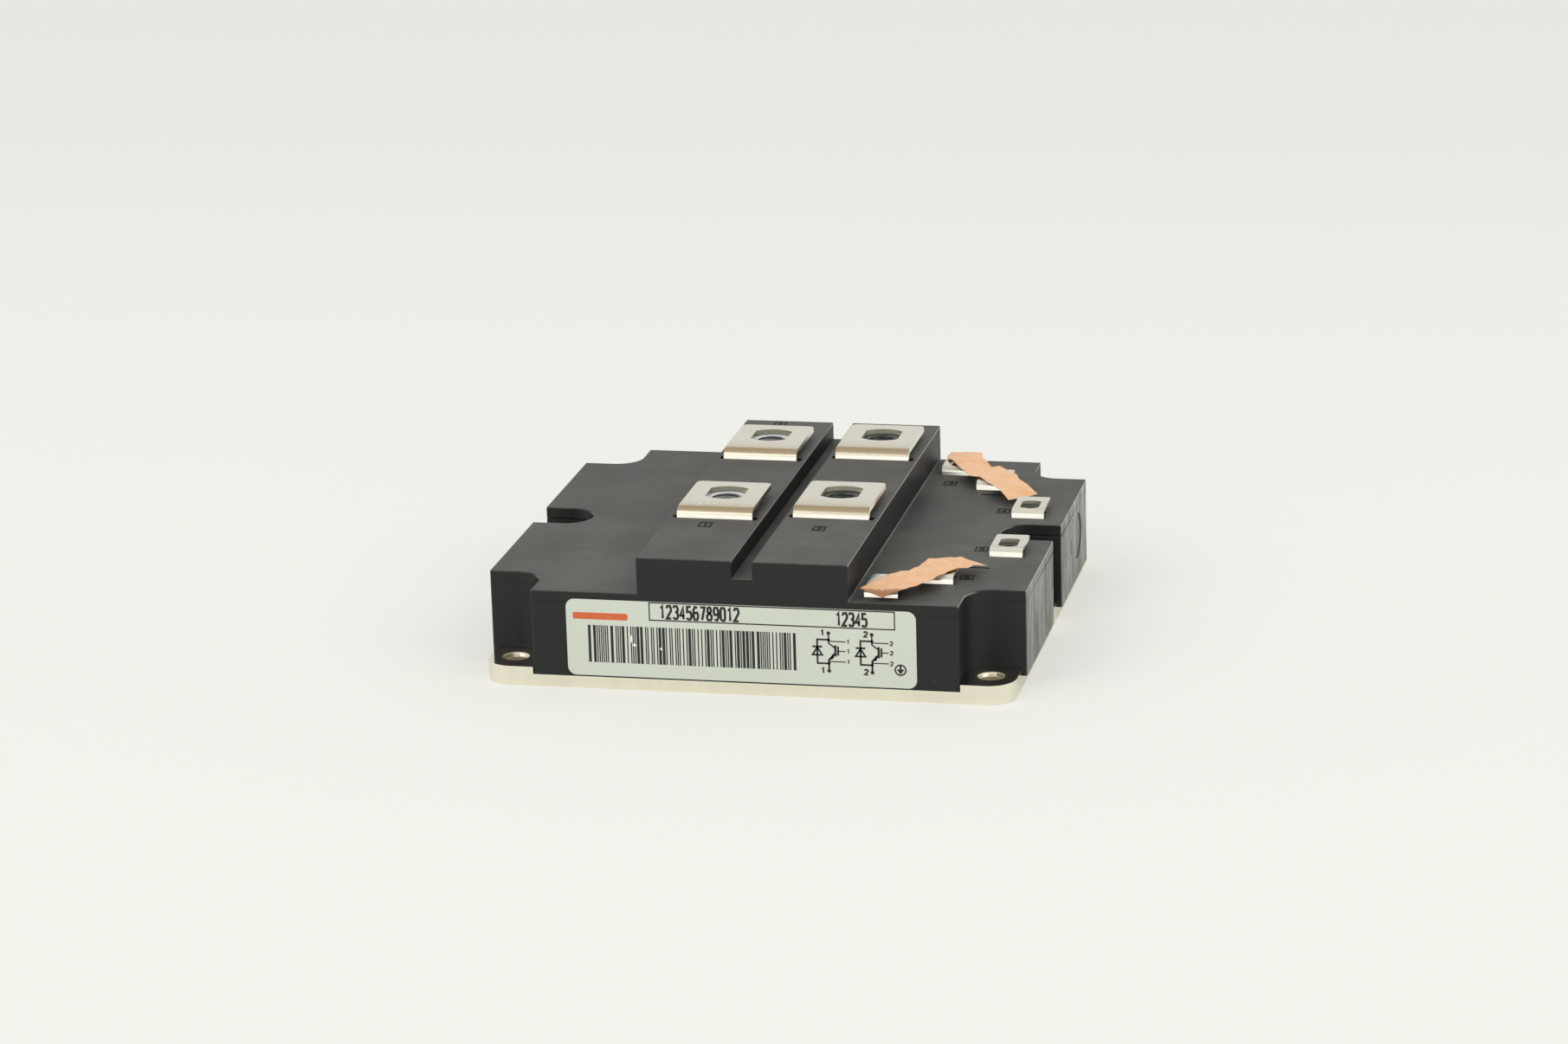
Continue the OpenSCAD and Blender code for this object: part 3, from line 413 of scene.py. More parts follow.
def dress(nodes, material):
    """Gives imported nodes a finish, in the slots that they already have."""
    for name in nodes:
        node = frame["nodes"][name]
        if not node.material_slots:
            node.data.materials.append(material)
        for place in node.material_slots:
            place.material = material


def linked(name, data):
    """A new object with that data, in the scene."""
    made = bpy.data.objects.new(name, data)
    bpy.context.scene.collection.objects.link(made)
    return made


# ----------------------------------------------------------------- surfaces

def grid_faces(rows, columns, wrap_rows=False, wrap_columns=False, first=0):
    """The quads of a grid of points numbered row by row: each joins a point, the next one in its row,
    and the two beside them in the next row. A wrapped direction closes on its first line."""
    i = np.arange(rows if wrap_rows else rows - 1)[:, None]
    j = np.arange(columns if wrap_columns else columns - 1)[None, :]
    below, right = (i + 1) % rows, (j + 1) % columns
    quads = np.stack(np.broadcast_arrays(i * columns + j, i * columns + right,
                                         below * columns + right, below * columns + j), axis=-1)
    return first + quads.reshape(-1, 4)


def unit(vectors):
    return vectors / np.maximum(np.linalg.norm(vectors, axis=-1, keepdims=True), 1e-12)


def circle(middle, radius, sides):
    """Points on a circle, or on an ellipse where the radius is a pair."""
    turn = np.linspace(0, FULL_TURN, sides, endpoint=False)
    return np.asarray(middle) + np.asarray(radius) * np.stack([np.cos(turn), np.sin(turn)], -1)


def resample(points, share):
    """Points at the given shares of the length of a polyline."""
    points = np.asarray(points, float)
    run = np.concatenate([[0], np.cumsum(np.linalg.norm(np.diff(points, axis=0), axis=1))])
    return np.stack([np.interp(share * run[-1], run, points[:, k]) for k in range(points.shape[1])], -1)


class Face:
    """A flat place to draw on: an origin, two directions in it, and its outward normal, in millimetres."""

    def __init__(self, origin, right, up):
        self.origin, self.right, self.up = (np.asarray(v, float) for v in (origin, right, up))
        self.out = np.cross(self.right, self.up)

    def at(self, flat, lift):
        """Flat coordinates (..., 2) raised by lift along the normal."""
        flat = np.asarray(flat, float)
        return self.origin + flat[..., :1] * self.right + flat[..., 1:] * self.up + lift * self.out


class Mould:
    """Gathers closed surfaces in millimetres, and turns them into one piece of the module."""

    def __init__(self):
        self.points, self.faces, self.count = [], [], 0

    def add(self, points, *faces):
        points = np.asarray(points, float).reshape(-1, 3)
        self.faces += [(self.count + f).tolist() for f in faces]
        self.points.append(points)
        self.count += len(points)

    def stroke(self, face, line, width, low, high, closed=False):
        """A raised line of even width: at each corner both edges lie on the mitre, which is half the
        width over the cosine of half the turn away. Its section is the rectangle from low to high."""
        p = np.asarray(line, float)
        if closed:
            before, after = np.roll(p, 1, 0), np.roll(p, -1, 0)
        else:
            before = np.vstack([2 * p[0] - p[1], p[:-1]])
            after = np.vstack([p[1:], 2 * p[-1] - p[-2]])
        turn = np.array([[0, 1], [-1, 0]])
        side_in, side_out = unit(p - before) @ turn, unit(after - p) @ turn
        mitre = unit(side_in + side_out)
        reach = 0.5 * width / np.maximum((mitre * side_out).sum(1), 0.5)
        left, right = p + mitre * reach[:, None], p - mitre * reach[:, None]
        rows = np.stack([face.at(edge, lift) for edge, lift in
                         ((left, high), (right, high), (right, low), (left, low))])
        columns = len(p)
        faces = [grid_faces(4, columns, wrap_rows=True, wrap_columns=closed)]
        if not closed:
            ends = np.arange(4) * columns
            faces += [ends[None, :], (ends + columns - 1)[None, :]]
        self.add(rows, *faces)

    def tile(self, face, outline, low, high):
        """A slab with any outline that its own middle sees all of: rings of the outline at both
        heights, closed by fans to the middle."""
        outline = np.asarray(outline, float)
        n, middle = len(outline), outline.mean(0)
        rings = np.concatenate([face.at(middle[None], low), face.at(outline, low), face.at(outline, high),
                                face.at(middle[None], high)])
        here, there = np.arange(n), (np.arange(n) + 1) % n
        under = np.stack([np.zeros(n, int), 1 + there, 1 + here], -1)
        over = np.stack([np.full(n, 2 * n + 1), 1 + n + here, 1 + n + there], -1)
        self.add(rings, under, over, grid_faces(2, n, wrap_columns=True, first=1))

    def bars(self, face, left, right, bottom, top, low, high):
        """Many upright bars at once: the eight corners of each, from arrays of their edges."""
        left, right, bottom, top = np.broadcast_arrays(*(np.asarray(v, float)
                                                         for v in (left, right, bottom, top)))
        flat = np.stack([np.stack([left, bottom], -1), np.stack([right, bottom], -1),
                         np.stack([right, top], -1), np.stack([left, top], -1)], 1)
        corners = np.concatenate([face.at(flat, low), face.at(flat, high)], 1)
        box = np.array([[0, 3, 2, 1], [4, 5, 6, 7], [0, 1, 5, 4], [1, 2, 6, 5], [2, 3, 7, 6], [3, 0, 4, 7]])
        quads = (np.arange(len(corners))[:, None, None] * 8 + box[None]).reshape(-1, 4)
        self.add(corners, quads)

    def figures(self, face, text, corner, size, pitch, width, low, high):
        """Plain stroke figures in a row: each stroke is a line through points of a unit square."""
        for step, figure in enumerate(text):
            for line in FIGURES[figure]:
                flat = np.asarray(line, float) * size + np.asarray(corner) + (step * pitch, 0)
                self.stroke(face, flat, width, low, high)

    def piece(self, name, material, replaced=(), smooth=False):
        """One mesh object at the origin with its place in its mesh, its faces turned outwards."""
        mesh = bpy.data.meshes.new(name)
        points = np.concatenate(self.points) * MM
        faces = [corner for block in self.faces for corner in block]
        mesh.from_pydata(points.tolist(), [], faces)
        shell = bmesh.new()
        shell.from_mesh(mesh)
        bmesh.ops.recalc_face_normals(shell, faces=shell.faces)
        shell.to_mesh(mesh)
        shell.free()
        mesh.polygons.foreach_set("use_smooth", np.full(len(mesh.polygons), smooth))
        mesh.materials.append(material)
        mesh.update()
        made = linked(name, mesh)
        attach(made, "root")
        if replaced:
            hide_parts(*replaced)


FIGURES = {
    "0": [[(.2, 0), (.8, 0), (1, .2), (1, .8), (.8, 1), (.2, 1), (0, .8), (0, .2), (.2, 0)]],
    "1": [[(.2, .78), (.6, 1), (.6, 0)]],
    "2": [[(0, .8), (.2, 1), (.8, 1), (1, .8), (1, .62), (0, 0), (1, 0)]],
    "3": [[(0, .86), (.2, 1), (.8, 1), (1, .84), (1, .68), (.78, .53), (.4, .53)],
          [(.78, .53), (1, .38), (1, .16), (.8, 0), (.2, 0), (0, .14)]],
    "4": [[(.74, 0), (.74, 1), (0, .28), (1, .28)]],
    "5": [[(.95, 1), (.1, 1), (.06, .58), (.8, .6), (1, .42), (1, .18), (.8, 0), (.2, 0), (0, .12)]],
    "6": [[(.9, .94), (.3, 1), (0, .76), (0, .2), (.2, 0), (.8, 0), (1, .2), (1, .4), (.8, .57),
           (.05, .5)]],
    "7": [[(0, 1), (1, 1), (.36, 0)]],
    "8": [[(.5, .54), (.12, .66), (.12, .88), (.3, 1), (.7, 1), (.88, .88), (.88, .66), (.5, .54),
           (0, .38), (0, .14), (.2, 0), (.8, 0), (1, .14), (1, .38), (.5, .54)]],
    "9": [[(.1, .06), (.7, 0), (1, .24), (1, .8), (.8, 1), (.2, 1), (0, .8), (0, .6), (.2, .43),
           (.95, .5)]],
}


def rounded_box(low, high, radius, steps=8):
    """The outline of a rectangle with round corners: a quarter circle about each inset corner."""
    way = np.array([[1, 1], [-1, 1], [-1, -1], [1, -1]])
    inset = np.where(way > 0, high, low) - radius * way
    turn = np.linspace(0, math.pi / 2, steps) + np.arange(4)[:, None] * math.pi / 2
    return (inset[:, None] + radius * np.stack([np.cos(turn), np.sin(turn)], -1)).reshape(-1, 2)


def threaded_nut(low, high, bore, major, pitch, turn_steps, rows_a_turn):
    """A hexagon nut as one closed surface. Round the axis, the outer radius is the apothem over the
    cosine of the angle to the nearest flat. Up the bore, the radius goes from the thread's core to its
    major radius and back as a triangle wave of height over pitch less turn. Rings join the two."""
    lead_in, mouth_rise, land_share, half_side = 0.06, 0.08, 0.965, math.pi / 6
    low, high = np.array(low) / MM, np.array(high) / MM
    middle, span = (low + high) / 2, high - low
    flat_half = min(span[:2]) / 2
    flats_face_x = span[0] < span[1]
    turn = np.linspace(0, FULL_TURN, turn_steps, endpoint=False)
    lean = (turn + (0 if flats_face_x else half_side) + half_side) % (2 * half_side) - half_side
    hexagon = flat_half / np.cos(lean)
    count = int(span[2] / pitch * rows_a_turn)
    rise = np.linspace(lead_in * span[2], (1 - lead_in) * span[2], count)[:, None]
    wave = 1 - 2 * abs((rise / pitch - turn / FULL_TURN) % 1 - 0.5)
    bored = bore + (major - bore) * wave
    mouth = np.full_like(turn, major + mouth_rise)
    land = np.full_like(turn, land_share * flat_half)
    drop = 0.5 * (hexagon - land)
    radius = np.vstack([bored, mouth, land, hexagon, hexagon, land, mouth])
    height = np.vstack([np.broadcast_to(rise, bored.shape), 0 * turn + span[2], 0 * turn + span[2],
                        span[2] - drop, drop, 0 * turn, 0 * turn])
    points = np.stack([middle[0] + radius * np.cos(turn), middle[1] + radius * np.sin(turn),
                       low[2] + height], -1)
    return points, grid_faces(*radius.shape, wrap_rows=True, wrap_columns=True)


def crumpled_sheet(left, right, rise, seed, folds, depth, steps=(150, 36)):
    """A torn strip of foil: straight rulings join two ragged edges, its height follows the given
    rise along and across, and flat-sided folds in chance directions add triangle waves to it."""
    chance = np.random.default_rng(seed)
    along, across = np.linspace(0, 1, steps[0])[:, None], np.linspace(0, 1, steps[1])[None, :]
    near, far = resample(left, along[:, 0]), resample(right, along[:, 0])
    plan = near[:, None] * (1 - across[..., None]) + far[:, None] * across[..., None]
    height = rise(along, across)
    for _ in range(folds):
        heading, start = chance.uniform(0, math.pi), chance.uniform(0, 1)
        length = chance.uniform(4.0, 11.0)
        run = (plan[..., 0] * math.cos(heading) + plan[..., 1] * math.sin(heading)) / length + start
        height = height + depth * chance.uniform(0.3, 1.0) * (abs(run % 1 - 0.5) - 0.25)
    return plan, height


def sheet_with_back(plan, height, thickness):
    """Closes a sheet into a thin solid: the same grid once more a thickness lower, walled all round."""
    rows, columns = height.shape
    top = np.concatenate([plan, height[..., None]], -1).reshape(-1, 3)
    back = top - (0, 0, thickness)
    number = np.arange(rows * columns).reshape(rows, columns)
    rim = np.concatenate([number[0, :], number[1:, -1], number[-1, -2::-1], number[-2:0:-1, 0]])
    after = np.roll(rim, -1)
    wall = np.stack([rim, after, after + rows * columns, rim + rows * columns], -1)
    return (np.concatenate([top, back]), grid_faces(rows, columns),
            grid_faces(rows, columns, first=rows * columns)[:, ::-1], wall)


# ----------------------------------------------------------------- settings

def length(name, description, default):
    return bpy.props.FloatProperty(name=name, description=description, default=default * MM, min=0.0,
                                   precision=5, subtype="DISTANCE", unit="LENGTH")


def colour(name, description, default):
    return bpy.props.FloatVectorProperty(name=name, description=description, default=(*default, 1.0),
                                         size=4, min=0.0, max=2.0, subtype="COLOR")


def angle(name, description, default):
    return bpy.props.FloatProperty(name=name, description=description, default=default, precision=6,
                                   subtype="ANGLE", unit="ROTATION")


class ModuleSizes(bpy.types.PropertyGroup):
    """Sizes of what is printed, laid or marked on the module."""
    film_thick: length("Film thickness", "Thickness of the label's film", 0.10)
    film_corner: length("Film corner", "Radius of the film's corners", 2.2)
    print_rise: length("Ink height", "How far the ink stands off the film", 0.012)
    line: length("Line width", "Width of the symbols' lines", 0.39)
    bar: length("Bar width", "Width of a narrow bar in the bar pattern", 0.267)
    power_half: length("Power strip half width", "Half the width of the power strips", 10.0)
    power_reach: length("Power strip reach", "From a power strip's front face to its screw", 15.0)
    aux_half: length("Auxiliary strip half width", "Half the width of the auxiliary strips", 4.3)
    aux_reach: length("Auxiliary strip reach", "From an auxiliary strip's front face to its screw", 5.2)
    deck_thick: length("Deck thickness", "How far the deck stands above the frame", 2.9)
    mark_rise: length("Mark height", "Height of the moulded figures", 0.05)
    mark_line: length("Mark line", "Width of the moulded figures' strokes", 0.52)
    foil_thick: length("Foil thickness", "Thickness of the copper foils", 0.06)
    foil_fold: length("Foil folds", "Depth of the foils' folds", 0.35)
    power_pitch: length("Large thread", "Pitch of the power nuts' thread", 1.25)
    power_major: length("Large thread radius", "Major radius of the power nuts' thread", 4.0)
    power_core: length("Large core radius", "Core radius of the power nuts' thread", 3.4)
    aux_pitch: length("Small thread", "Pitch of the auxiliary nuts' thread", 0.7)
    aux_major: length("Small thread radius", "Major radius of the auxiliary nuts' thread", 2.0)
    aux_core: length("Small core radius", "Core radius of the auxiliary nuts' thread", 1.65)


class ModuleColours(bpy.types.PropertyGroup):
    """Colours of the module's finishes."""
    plastic: colour("Plastic", "Black plastic without dust", (0.0095, 0.0100, 0.0100))
    # Paler shades of it also paint the walls' grazing sheen and the highlights on the top edges.
    dust: colour("Dust", "Dust that lies on the plastic", (0.120, 0.121, 0.110))
    nickel: colour("Nickel", "Nickel plating", (0.79, 0.765, 0.675))
    # Painted light: the sides get this paler colour so that they look brighter than the plated top.
    edge: colour("Base edge", "Sides of the plated base", (0.92, 0.88, 0.74))
    # Also painted light: a warm reflection painted on the strips' bends, and shade painted on the corner
    # holes' walls.
    tarnish_and_painted_light: colour("Tarnish", "Aged nickel plating", (0.70, 0.60, 0.42))
    zinc: colour("Zinc", "Zinc plating of the nuts", (0.96, 0.98, 0.99))
    copper: colour("Foil copper", "Bright copper foil", (1.0, 0.615, 0.345))
    # Also the painted shade along the foils' creases.
    heat_stain_and_crease_shade: colour("Foil stain", "Stained and folded copper foil", (0.86, 0.36, 0.15))
    film: colour("Film", "Label film", (0.640, 0.680, 0.582))
    ink: colour("Ink", "Black print", (0.012, 0.012, 0.013))
    accent: colour("Accent", "Orange print", (0.66, 0.13, 0.04))


class StageSettings(bpy.types.PropertyGroup):
    """The view, the floor and the light."""
    eye: bpy.props.FloatVectorProperty(name="Camera position", description="Where the camera stands",
                                       default=(0.260891, -1.186420, 0.393346), precision=6,
                                       subtype="TRANSLATION", unit="LENGTH")
    yaw: angle("Yaw", "Turn of the view from +Y towards -X", -0.21892186)
    pitch: angle("Pitch", "How far the view looks down", 0.29349246)
    roll: angle("Roll", "Roll of the picture", -0.02860985)
    lens: bpy.props.FloatProperty(name="Lens", description="Focal length on a 36 mm wide sensor",
                                  default=110.158, subtype="DISTANCE_CAMERA", unit="CAMERA")
    floor_near: colour("Near floor", "The floor in front of the module", (0.870, 0.868, 0.815))
    floor_far: colour("Far floor", "The floor far behind the module", (0.825, 0.850, 0.785))
    sky: colour("Surround", "The bright surround that metal reflects", (1.0, 0.99, 0.96))
    window: colour("Window", "The brightest part of it, in front of the module", (1.3, 1.29, 1.24))
    ceiling: colour("Ceiling", "The warm dim ceiling that metal reflects", (0.62, 0.53, 0.40))
    level: bpy.props.FloatProperty(name="Level", description="Strength of the even light", default=0.80,
                                   min=0.0)
    lamp: bpy.props.FloatProperty(name="Lamps", description="Power of each soft lamp", default=9.0,
                                  min=0.0, subtype="POWER", unit="POWER")


def settings():
    scene = bpy.context.scene
    return scene.module_sizes, scene.module_colours, scene.module_stage


def heights():
    """The tops of the frame, of the lid's deck and of its ridges."""
    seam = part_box("housing_frame")[1][2]
    return seam, seam + settings()[0].deck_thick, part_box("lid")[1][2]


# ---------------------------------------------------------------- operators

class MODULE_OT_housing(bpy.types.Operator):
    """Gives the frame and the lid their dusty black plastic"""
    bl_idname = "module.housing"
    bl_label = "Housing finish"

    def execute(self, context):
        _, colours, _ = settings()
        material = moulded_plastic("black plastic", colours.plastic, colours.dust, heights(),
                                   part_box("housing_frame")[1][0])
        for node in ("housing_frame", "lid"):
            dress([node], material)
        return {"FINISHED"}


class MODULE_OT_metalwork(bpy.types.Operator):
    """Gives the baseplate and the terminals their plating"""
    bl_idname = "module.metalwork"
    bl_label = "Metal finish"

    def execute(self, context):
        sizes, colours, _ = settings()
        mounts = {mount["name"]: mount for mount in frame["record"]["mounts"]}
        spread = mounts["corner_holes"]["dims"]
        hole = (spread["spacing_x_mm"] * MM / 2, spread["spacing_y_mm"] * MM / 2, spread["hole_r_mm"] * MM)
        base = plated_base("plated base", colours.nickel, colours.tarnish_and_painted_light, colours.edge, hole,
                           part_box("baseplate")[1][2])
        dress(["baseplate"], base)
        out_of_reach, crest_rise = 1.0, 0.0013
        kinds = (("power", ("left", "right"), sizes.power_half, sizes.power_reach, out_of_reach),
                 ("aux", ("outer", "slant", "side"), sizes.aux_half, sizes.aux_reach,
                  heights()[1] + crest_rise))
        for kind, rows, half, reach, crest in kinds:
            for row in rows:
                screws = mounts[f"{kind}_screws_{row}"]
                (x, middle, _), apart = screws["pos_m"], screws["dims"]["spacing_y_mm"] * MM
                for end, way in zip(ENDS, (-0.5, 0.5)):
                    name = f"{kind}_terminal_{end}_{row}"
                    strip = plated_strip(name.replace("_", " "), colours.nickel, colours.tarnish_and_painted_light,
                                         (x, middle + way * apart), half, reach, crest,
                                         stamped=name == "power_terminal_front_left")
                    dress([name], strip)
        return {"FINISHED"}


class MODULE_OT_nuts(bpy.types.Operator):
    """Makes the captive hexagon nuts with their threads"""
    bl_idname = "module.nuts"
    bl_label = "Threaded nuts"

    def execute(self, context):
        sizes, colours, _ = settings()
        # Lit and shaded copies of one zinc: the left nuts get the bright one, the right nuts the dark one as
        # painted shade in their holes.
        bright = zinc_plate("bright zinc", colours.zinc, 0.0)
        dark = zinc_plate("oiled zinc", colours.zinc, 0.85)
        kinds = (("power_nut", POWER, (sizes.power_core, sizes.power_major, sizes.power_pitch), 96, 8),
                 ("aux_nut", AUX, (sizes.aux_core, sizes.aux_major, sizes.aux_pitch), 72, 6))
        for kind, places, thread, steps, rows in kinds:
            for place in places:
                node = f"{kind}_{place}"
                mould = Mould()
                mould.add(*threaded_nut(*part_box(node), *(v / MM for v in thread), steps, rows))
                # Painted shade: the right nuts take the shaded copy.
                mould.piece(f"threaded_{node}", bright if place.endswith("left") else dark,
                            replaced=(node,))
        return {"FINISHED"}


class MODULE_OT_label(bpy.types.Operator):
    """Lays the label's film on the front wall and prints it"""
    bl_idname = "module.label"
    bl_label = "Label"

    def execute(self, context):
        sizes, colours, _ = settings()
        low, high = (np.array(v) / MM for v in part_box("label"))
        thick = sizes.film_thick / MM
        front = Face((0, high[1], 0), (1, 0, 0), (0, 0, 1))
        film = Mould()
        film.tile(front, rounded_box(low[[0, 2]], high[[0, 2]], sizes.film_corner / MM), 0, thick)
        film.piece("label_film", printed_film("label film", colours.film), replaced=("label",))

        inked = Mould()
        layer = (thick, thick + sizes.print_rise / MM)
        line = sizes.line / MM
        self.number_strip(inked, front, line, layer)
        self.bar_pattern(inked, front, sizes.bar / MM, layer)
        for figure, middle in (("1", 22.0), ("2", 33.1)):
            self.switch_symbol(inked, front, figure, middle, line, layer)
        self.earth_symbol(inked, front, (40.3, 8.3), 1.35, line, layer)
        inked.piece("label_print", ink("black ink", colours.ink, shade(colours.film, 0.3)))

        accent = Mould()
        accent.tile(front, rounded_box((-44.3, 18.5), (-29.9, 20.3), 0.5), *layer)
        accent.piece("label_accent", ink("orange ink", colours.accent, shade(colours.film, 0.8)))

        rubbed = Mould()
        over = (layer[0], layer[1] + 0.006)
        for middle, size in (((-29.1, 13.6), (0.28, 0.95)), ((-28.4, 12.1), (0.40, 0.42)),
                             ((-21.4, 11.3), (0.34, 0.36))):
            turn = np.linspace(0, FULL_TURN, 18, endpoint=False)
            ragged = 1 + 0.22 * np.sin(3 * turn + middle[0]) + 0.12 * np.sin(5 * turn)
            rubbed.tile(front, circle((0, 0), size, 18) * ragged[:, None] + middle, *over)
        rubbed.piece("label_rubbed_spots", printed_film("rubbed film", shade(colours.film, 1.3)))
        return {"FINISHED"}

    @staticmethod
    def number_strip(mould, face, line, layer):
        """A thin frame with plain counting figures."""
        mould.stroke(face, [(-24.2, 18.9), (39.0, 18.9), (39.0, 23.55), (-24.2, 23.55)], 0.85 * line, *layer,
                     closed=True)
        mould.figures(face, "123456789012", (-21.4, 19.5), (1.12, 3.35), 1.75, 1.6 * line, *layer)
        mould.figures(face, "12345", (24.1, 19.5), (1.12, 3.3), 1.66, 1.6 * line, *layer)

    @staticmethod
    def bar_pattern(mould, face, bar, layer):
        """Upright bars in groups of nine strips, five dark and four light, three of them wide. Which
        are wide is drawn by chance, so the pattern says nothing."""
        chance = np.random.default_rng(41)
        groups, wide = 14, 2.5
        strips = np.where(chance.permuted(np.tile(np.arange(9), (groups, 1)), axis=1) < 3, wide, 1.0)
        strips = np.hstack([strips, np.ones((groups, 1))]).ravel()[:-1] * bar
        start = -40.4 + np.concatenate([[0], np.cumsum(strips)[:-1]])
        dark = np.arange(len(strips)) % 10 % 2 == 0
        spread = 0.10 * bar
        mould.bars(face, start[dark] - spread, (start + strips)[dark] + spread, 7.1, 17.0, *layer)

    @staticmethod
    def switch_symbol(mould, face, figure, middle, line, layer):
        """One transistor with its diode and its three small leads, between two terminal dots."""
        def stroke(*points, width=line, closed=False):
            mould.stroke(face, [(middle + x, z) for x, z in points], width, *layer, closed=closed)

        top, bottom, diode = 15.6, 9.3, -2.94
        for height, radius in ((17.35, 0.50), (7.35, 0.50), (top, 0.40), (bottom, 0.40)):
            mould.tile(face, circle((middle, height), radius, 20), *layer)
        stroke((0, 17.0), (0, 14.7), (1.55, 13.5))
        stroke((1.55, 11.9), (0, 10.3), (0, 7.7), width=1.25 * line)
        stroke((1.7, 14.2), (1.7, 11.2), width=1.6 * line)
        stroke((2.4, 13.9), (2.4, 11.5), width=1.3 * line)
        stroke((0, top), (diode, top), (diode, bottom), (0, bottom), width=1.25 * line)
        stroke((diode - 1.25, 11.5), (diode + 1.25, 11.5), (diode, 13.5), width=1.25 * line, closed=True)
        stroke((diode - 1.25, 13.7), (diode + 1.25, 13.7), width=1.3 * line)
        mould.tile(face, [(middle + 1.05, 12.05), (middle - 0.05, 10.0), (middle + 1.35, 10.8)], *layer)
        for height, start in ((15.2, 0.0), (12.65, 2.4), (9.85, 0.0)):
            stroke((start, height), (4.3, height), width=0.75 * line)
            mould.figures(face, figure, (middle + 4.7, height - 0.45), (0.6, 0.95), 1, 0.8 * line, *layer)
        for height in (16.75, 6.75):
            mould.figures(face, figure, (middle - 2.0, height), (0.85, 1.3), 1, 1.15 * line, *layer)

    @staticmethod
    def earth_symbol(mould, face, middle, radius, line, layer):
        """A circle round a stem over three shortening bars."""
        mould.stroke(face, circle(middle, radius, 28), line, *layer, closed=True)
        x, z = middle
        mould.stroke(face, [(x, z + 0.85 * radius), (x, z)], 1.3 * line, *layer)
        for step, half in enumerate((0.66, 0.42, 0.20)):
            height = z - 0.30 * step * radius
            mould.stroke(face, [(x - half * radius, height), (x + half * radius, height)], line, *layer)


class MODULE_OT_foils(bpy.types.Operator):
    """Lays the two crumpled copper foils over the auxiliary terminals"""
    bl_idname = "module.foils"
    bl_label = "Shorting foils"

    def execute(self, context):
        sizes, colours, _ = settings()
        brown = 0.0016
        material = copper_foil("copper foil", colours.copper, colours.heat_stain_and_crease_shade,
                               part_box("shorting_foil_front")[0][1] + brown)
        thick, fold = sizes.foil_thick / MM, sizes.foil_fold / MM
        seat = max(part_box(f"aux_terminal_{a}")[1][2] for a in AUX) / MM
        front = ([(29.5, -61.9), (31.8, -56.3), (34.5, -50.5), (37.1, -46.8), (39.1, -46.1),
                  (40.9, -42.1), (42.2, -35.5), (45.6, -34.2), (48.9, -33.8), (50.3, -32.3),
                  (54.6, -34.0)],
                 [(36.0, -64.2), (39.9, -62.7), (43.8, -57.7), (46.5, -53.2), (47.0, -50.2),
                  (49.4, -45.2), (51.2, -42.5), (53.4, -41.8), (54.8, -39.5), (57.8, -36.4)])
        rear = ([(30.4, 57.6), (31.5, 55.3), (39.4, 41.1), (42.6, 39.7), (46.4, 33.7), (49.1, 29.9),
                 (53.2, 23.3)],
                [(30.9, 62.4), (39.4, 62.3), (40.4, 57.8), (44.1, 50.1), (46.3, 50.7), (47.5, 49.1),
                 (52.0, 43.3), (53.4, 39.3), (60.1, 29.5)])
        front_rise = ([0, 0.06, 0.16, 0.34, 0.5, 0.75, 0.88, 1],
                      [0.25, 0.30, 0.38, 0.4, 0.15, 0.4, 0.3, -0.7],
                      [-1.2, -0.30, 0.35, 0.4, 0.15, 0.4, 0.3, -0.7])
        rear_lift = [0.35, 0.5, 0.3, 0.1, 0.35, 0.1, -1.1]
        rear_rise = ([0, 0.12, 0.3, 0.5, 0.7, 0.86, 1], rear_lift, rear_lift)
        gap, rest_gap, cupped, droop, highest = 0.12, 0.03, 0.35, 1.6, 1.35
        foils = zip(ENDS, (front, rear), (front_rise, rear_rise))
        for seed, (end, edges, (share, near, far)) in enumerate(foils):
            def rise(along, across):
                lift = (1 - across) * np.interp(along, share, near) + across * np.interp(along, share, far)
                return seat + thick + gap + lift + cupped * (across - 0.5) ** 2

            plan, height = crumpled_sheet(*edges, rise, 7 + seed, 5, fold)
            over_seat = np.interp(np.linspace(0, 1, len(height)), (0.10, 0.16, 0.86, 0.90), (0, 1, 1, 0))
            floor = seat + thick + rest_gap - droop * (1 - over_seat[:, None])
            height = np.clip(height, floor, seat + highest)
            mould = Mould()
            mould.add(*sheet_with_back(plan, height, thick))
            mould.piece(f"copper_foil_{end}", material, replaced=(f"shorting_foil_{end}",),
                        smooth=True)
        return {"FINISHED"}


class MODULE_OT_marks(bpy.types.Operator):
    """Sets a small frame with a plain figure beside each terminal"""
    bl_idname = "module.marks"
    bl_label = "Moulded figures"

    def execute(self, context):
        sizes, _, _ = settings()
        line, sunk, rise = sizes.mark_line / MM, -0.02, sizes.mark_rise / MM
        _, deck, top = (height / MM for height in heights())
        mould = Mould()
        places = ((top, (("1", -16.2, -34.6), ("2", 13.8, -34.6), ("1", -17.0, 61.2))),
                  (deck, (("3", 34.2, 41.8), ("4", 52.9, 17.8), ("5", 52.9, -16.6), ("6", 53.4, -41.0))))
        for height, marks in places:
            face = Face((0, 0, height), (1, 0, 0), (0, 1, 0))
            for figure, x, y in marks:
                box = [(x - 1.5, y - 1.8), (x + 1.5, y - 1.8), (x + 1.5, y + 1.8), (x - 1.5, y + 1.8)]
                mould.stroke(face, box, line, sunk, rise, closed=True)
                mould.figures(face, figure, (x - 0.6, y - 1.0), (1.2, 2.0), 1, line, sunk, rise)
        # Painted shade: the figures are near-black, standing in for the shade that the moulded relief holds.
        mould.piece("moulded_figures", ink("painted figure shade", grey(0.004), grey(0.010), gloss=0.08))
        return {"FINISHED"}


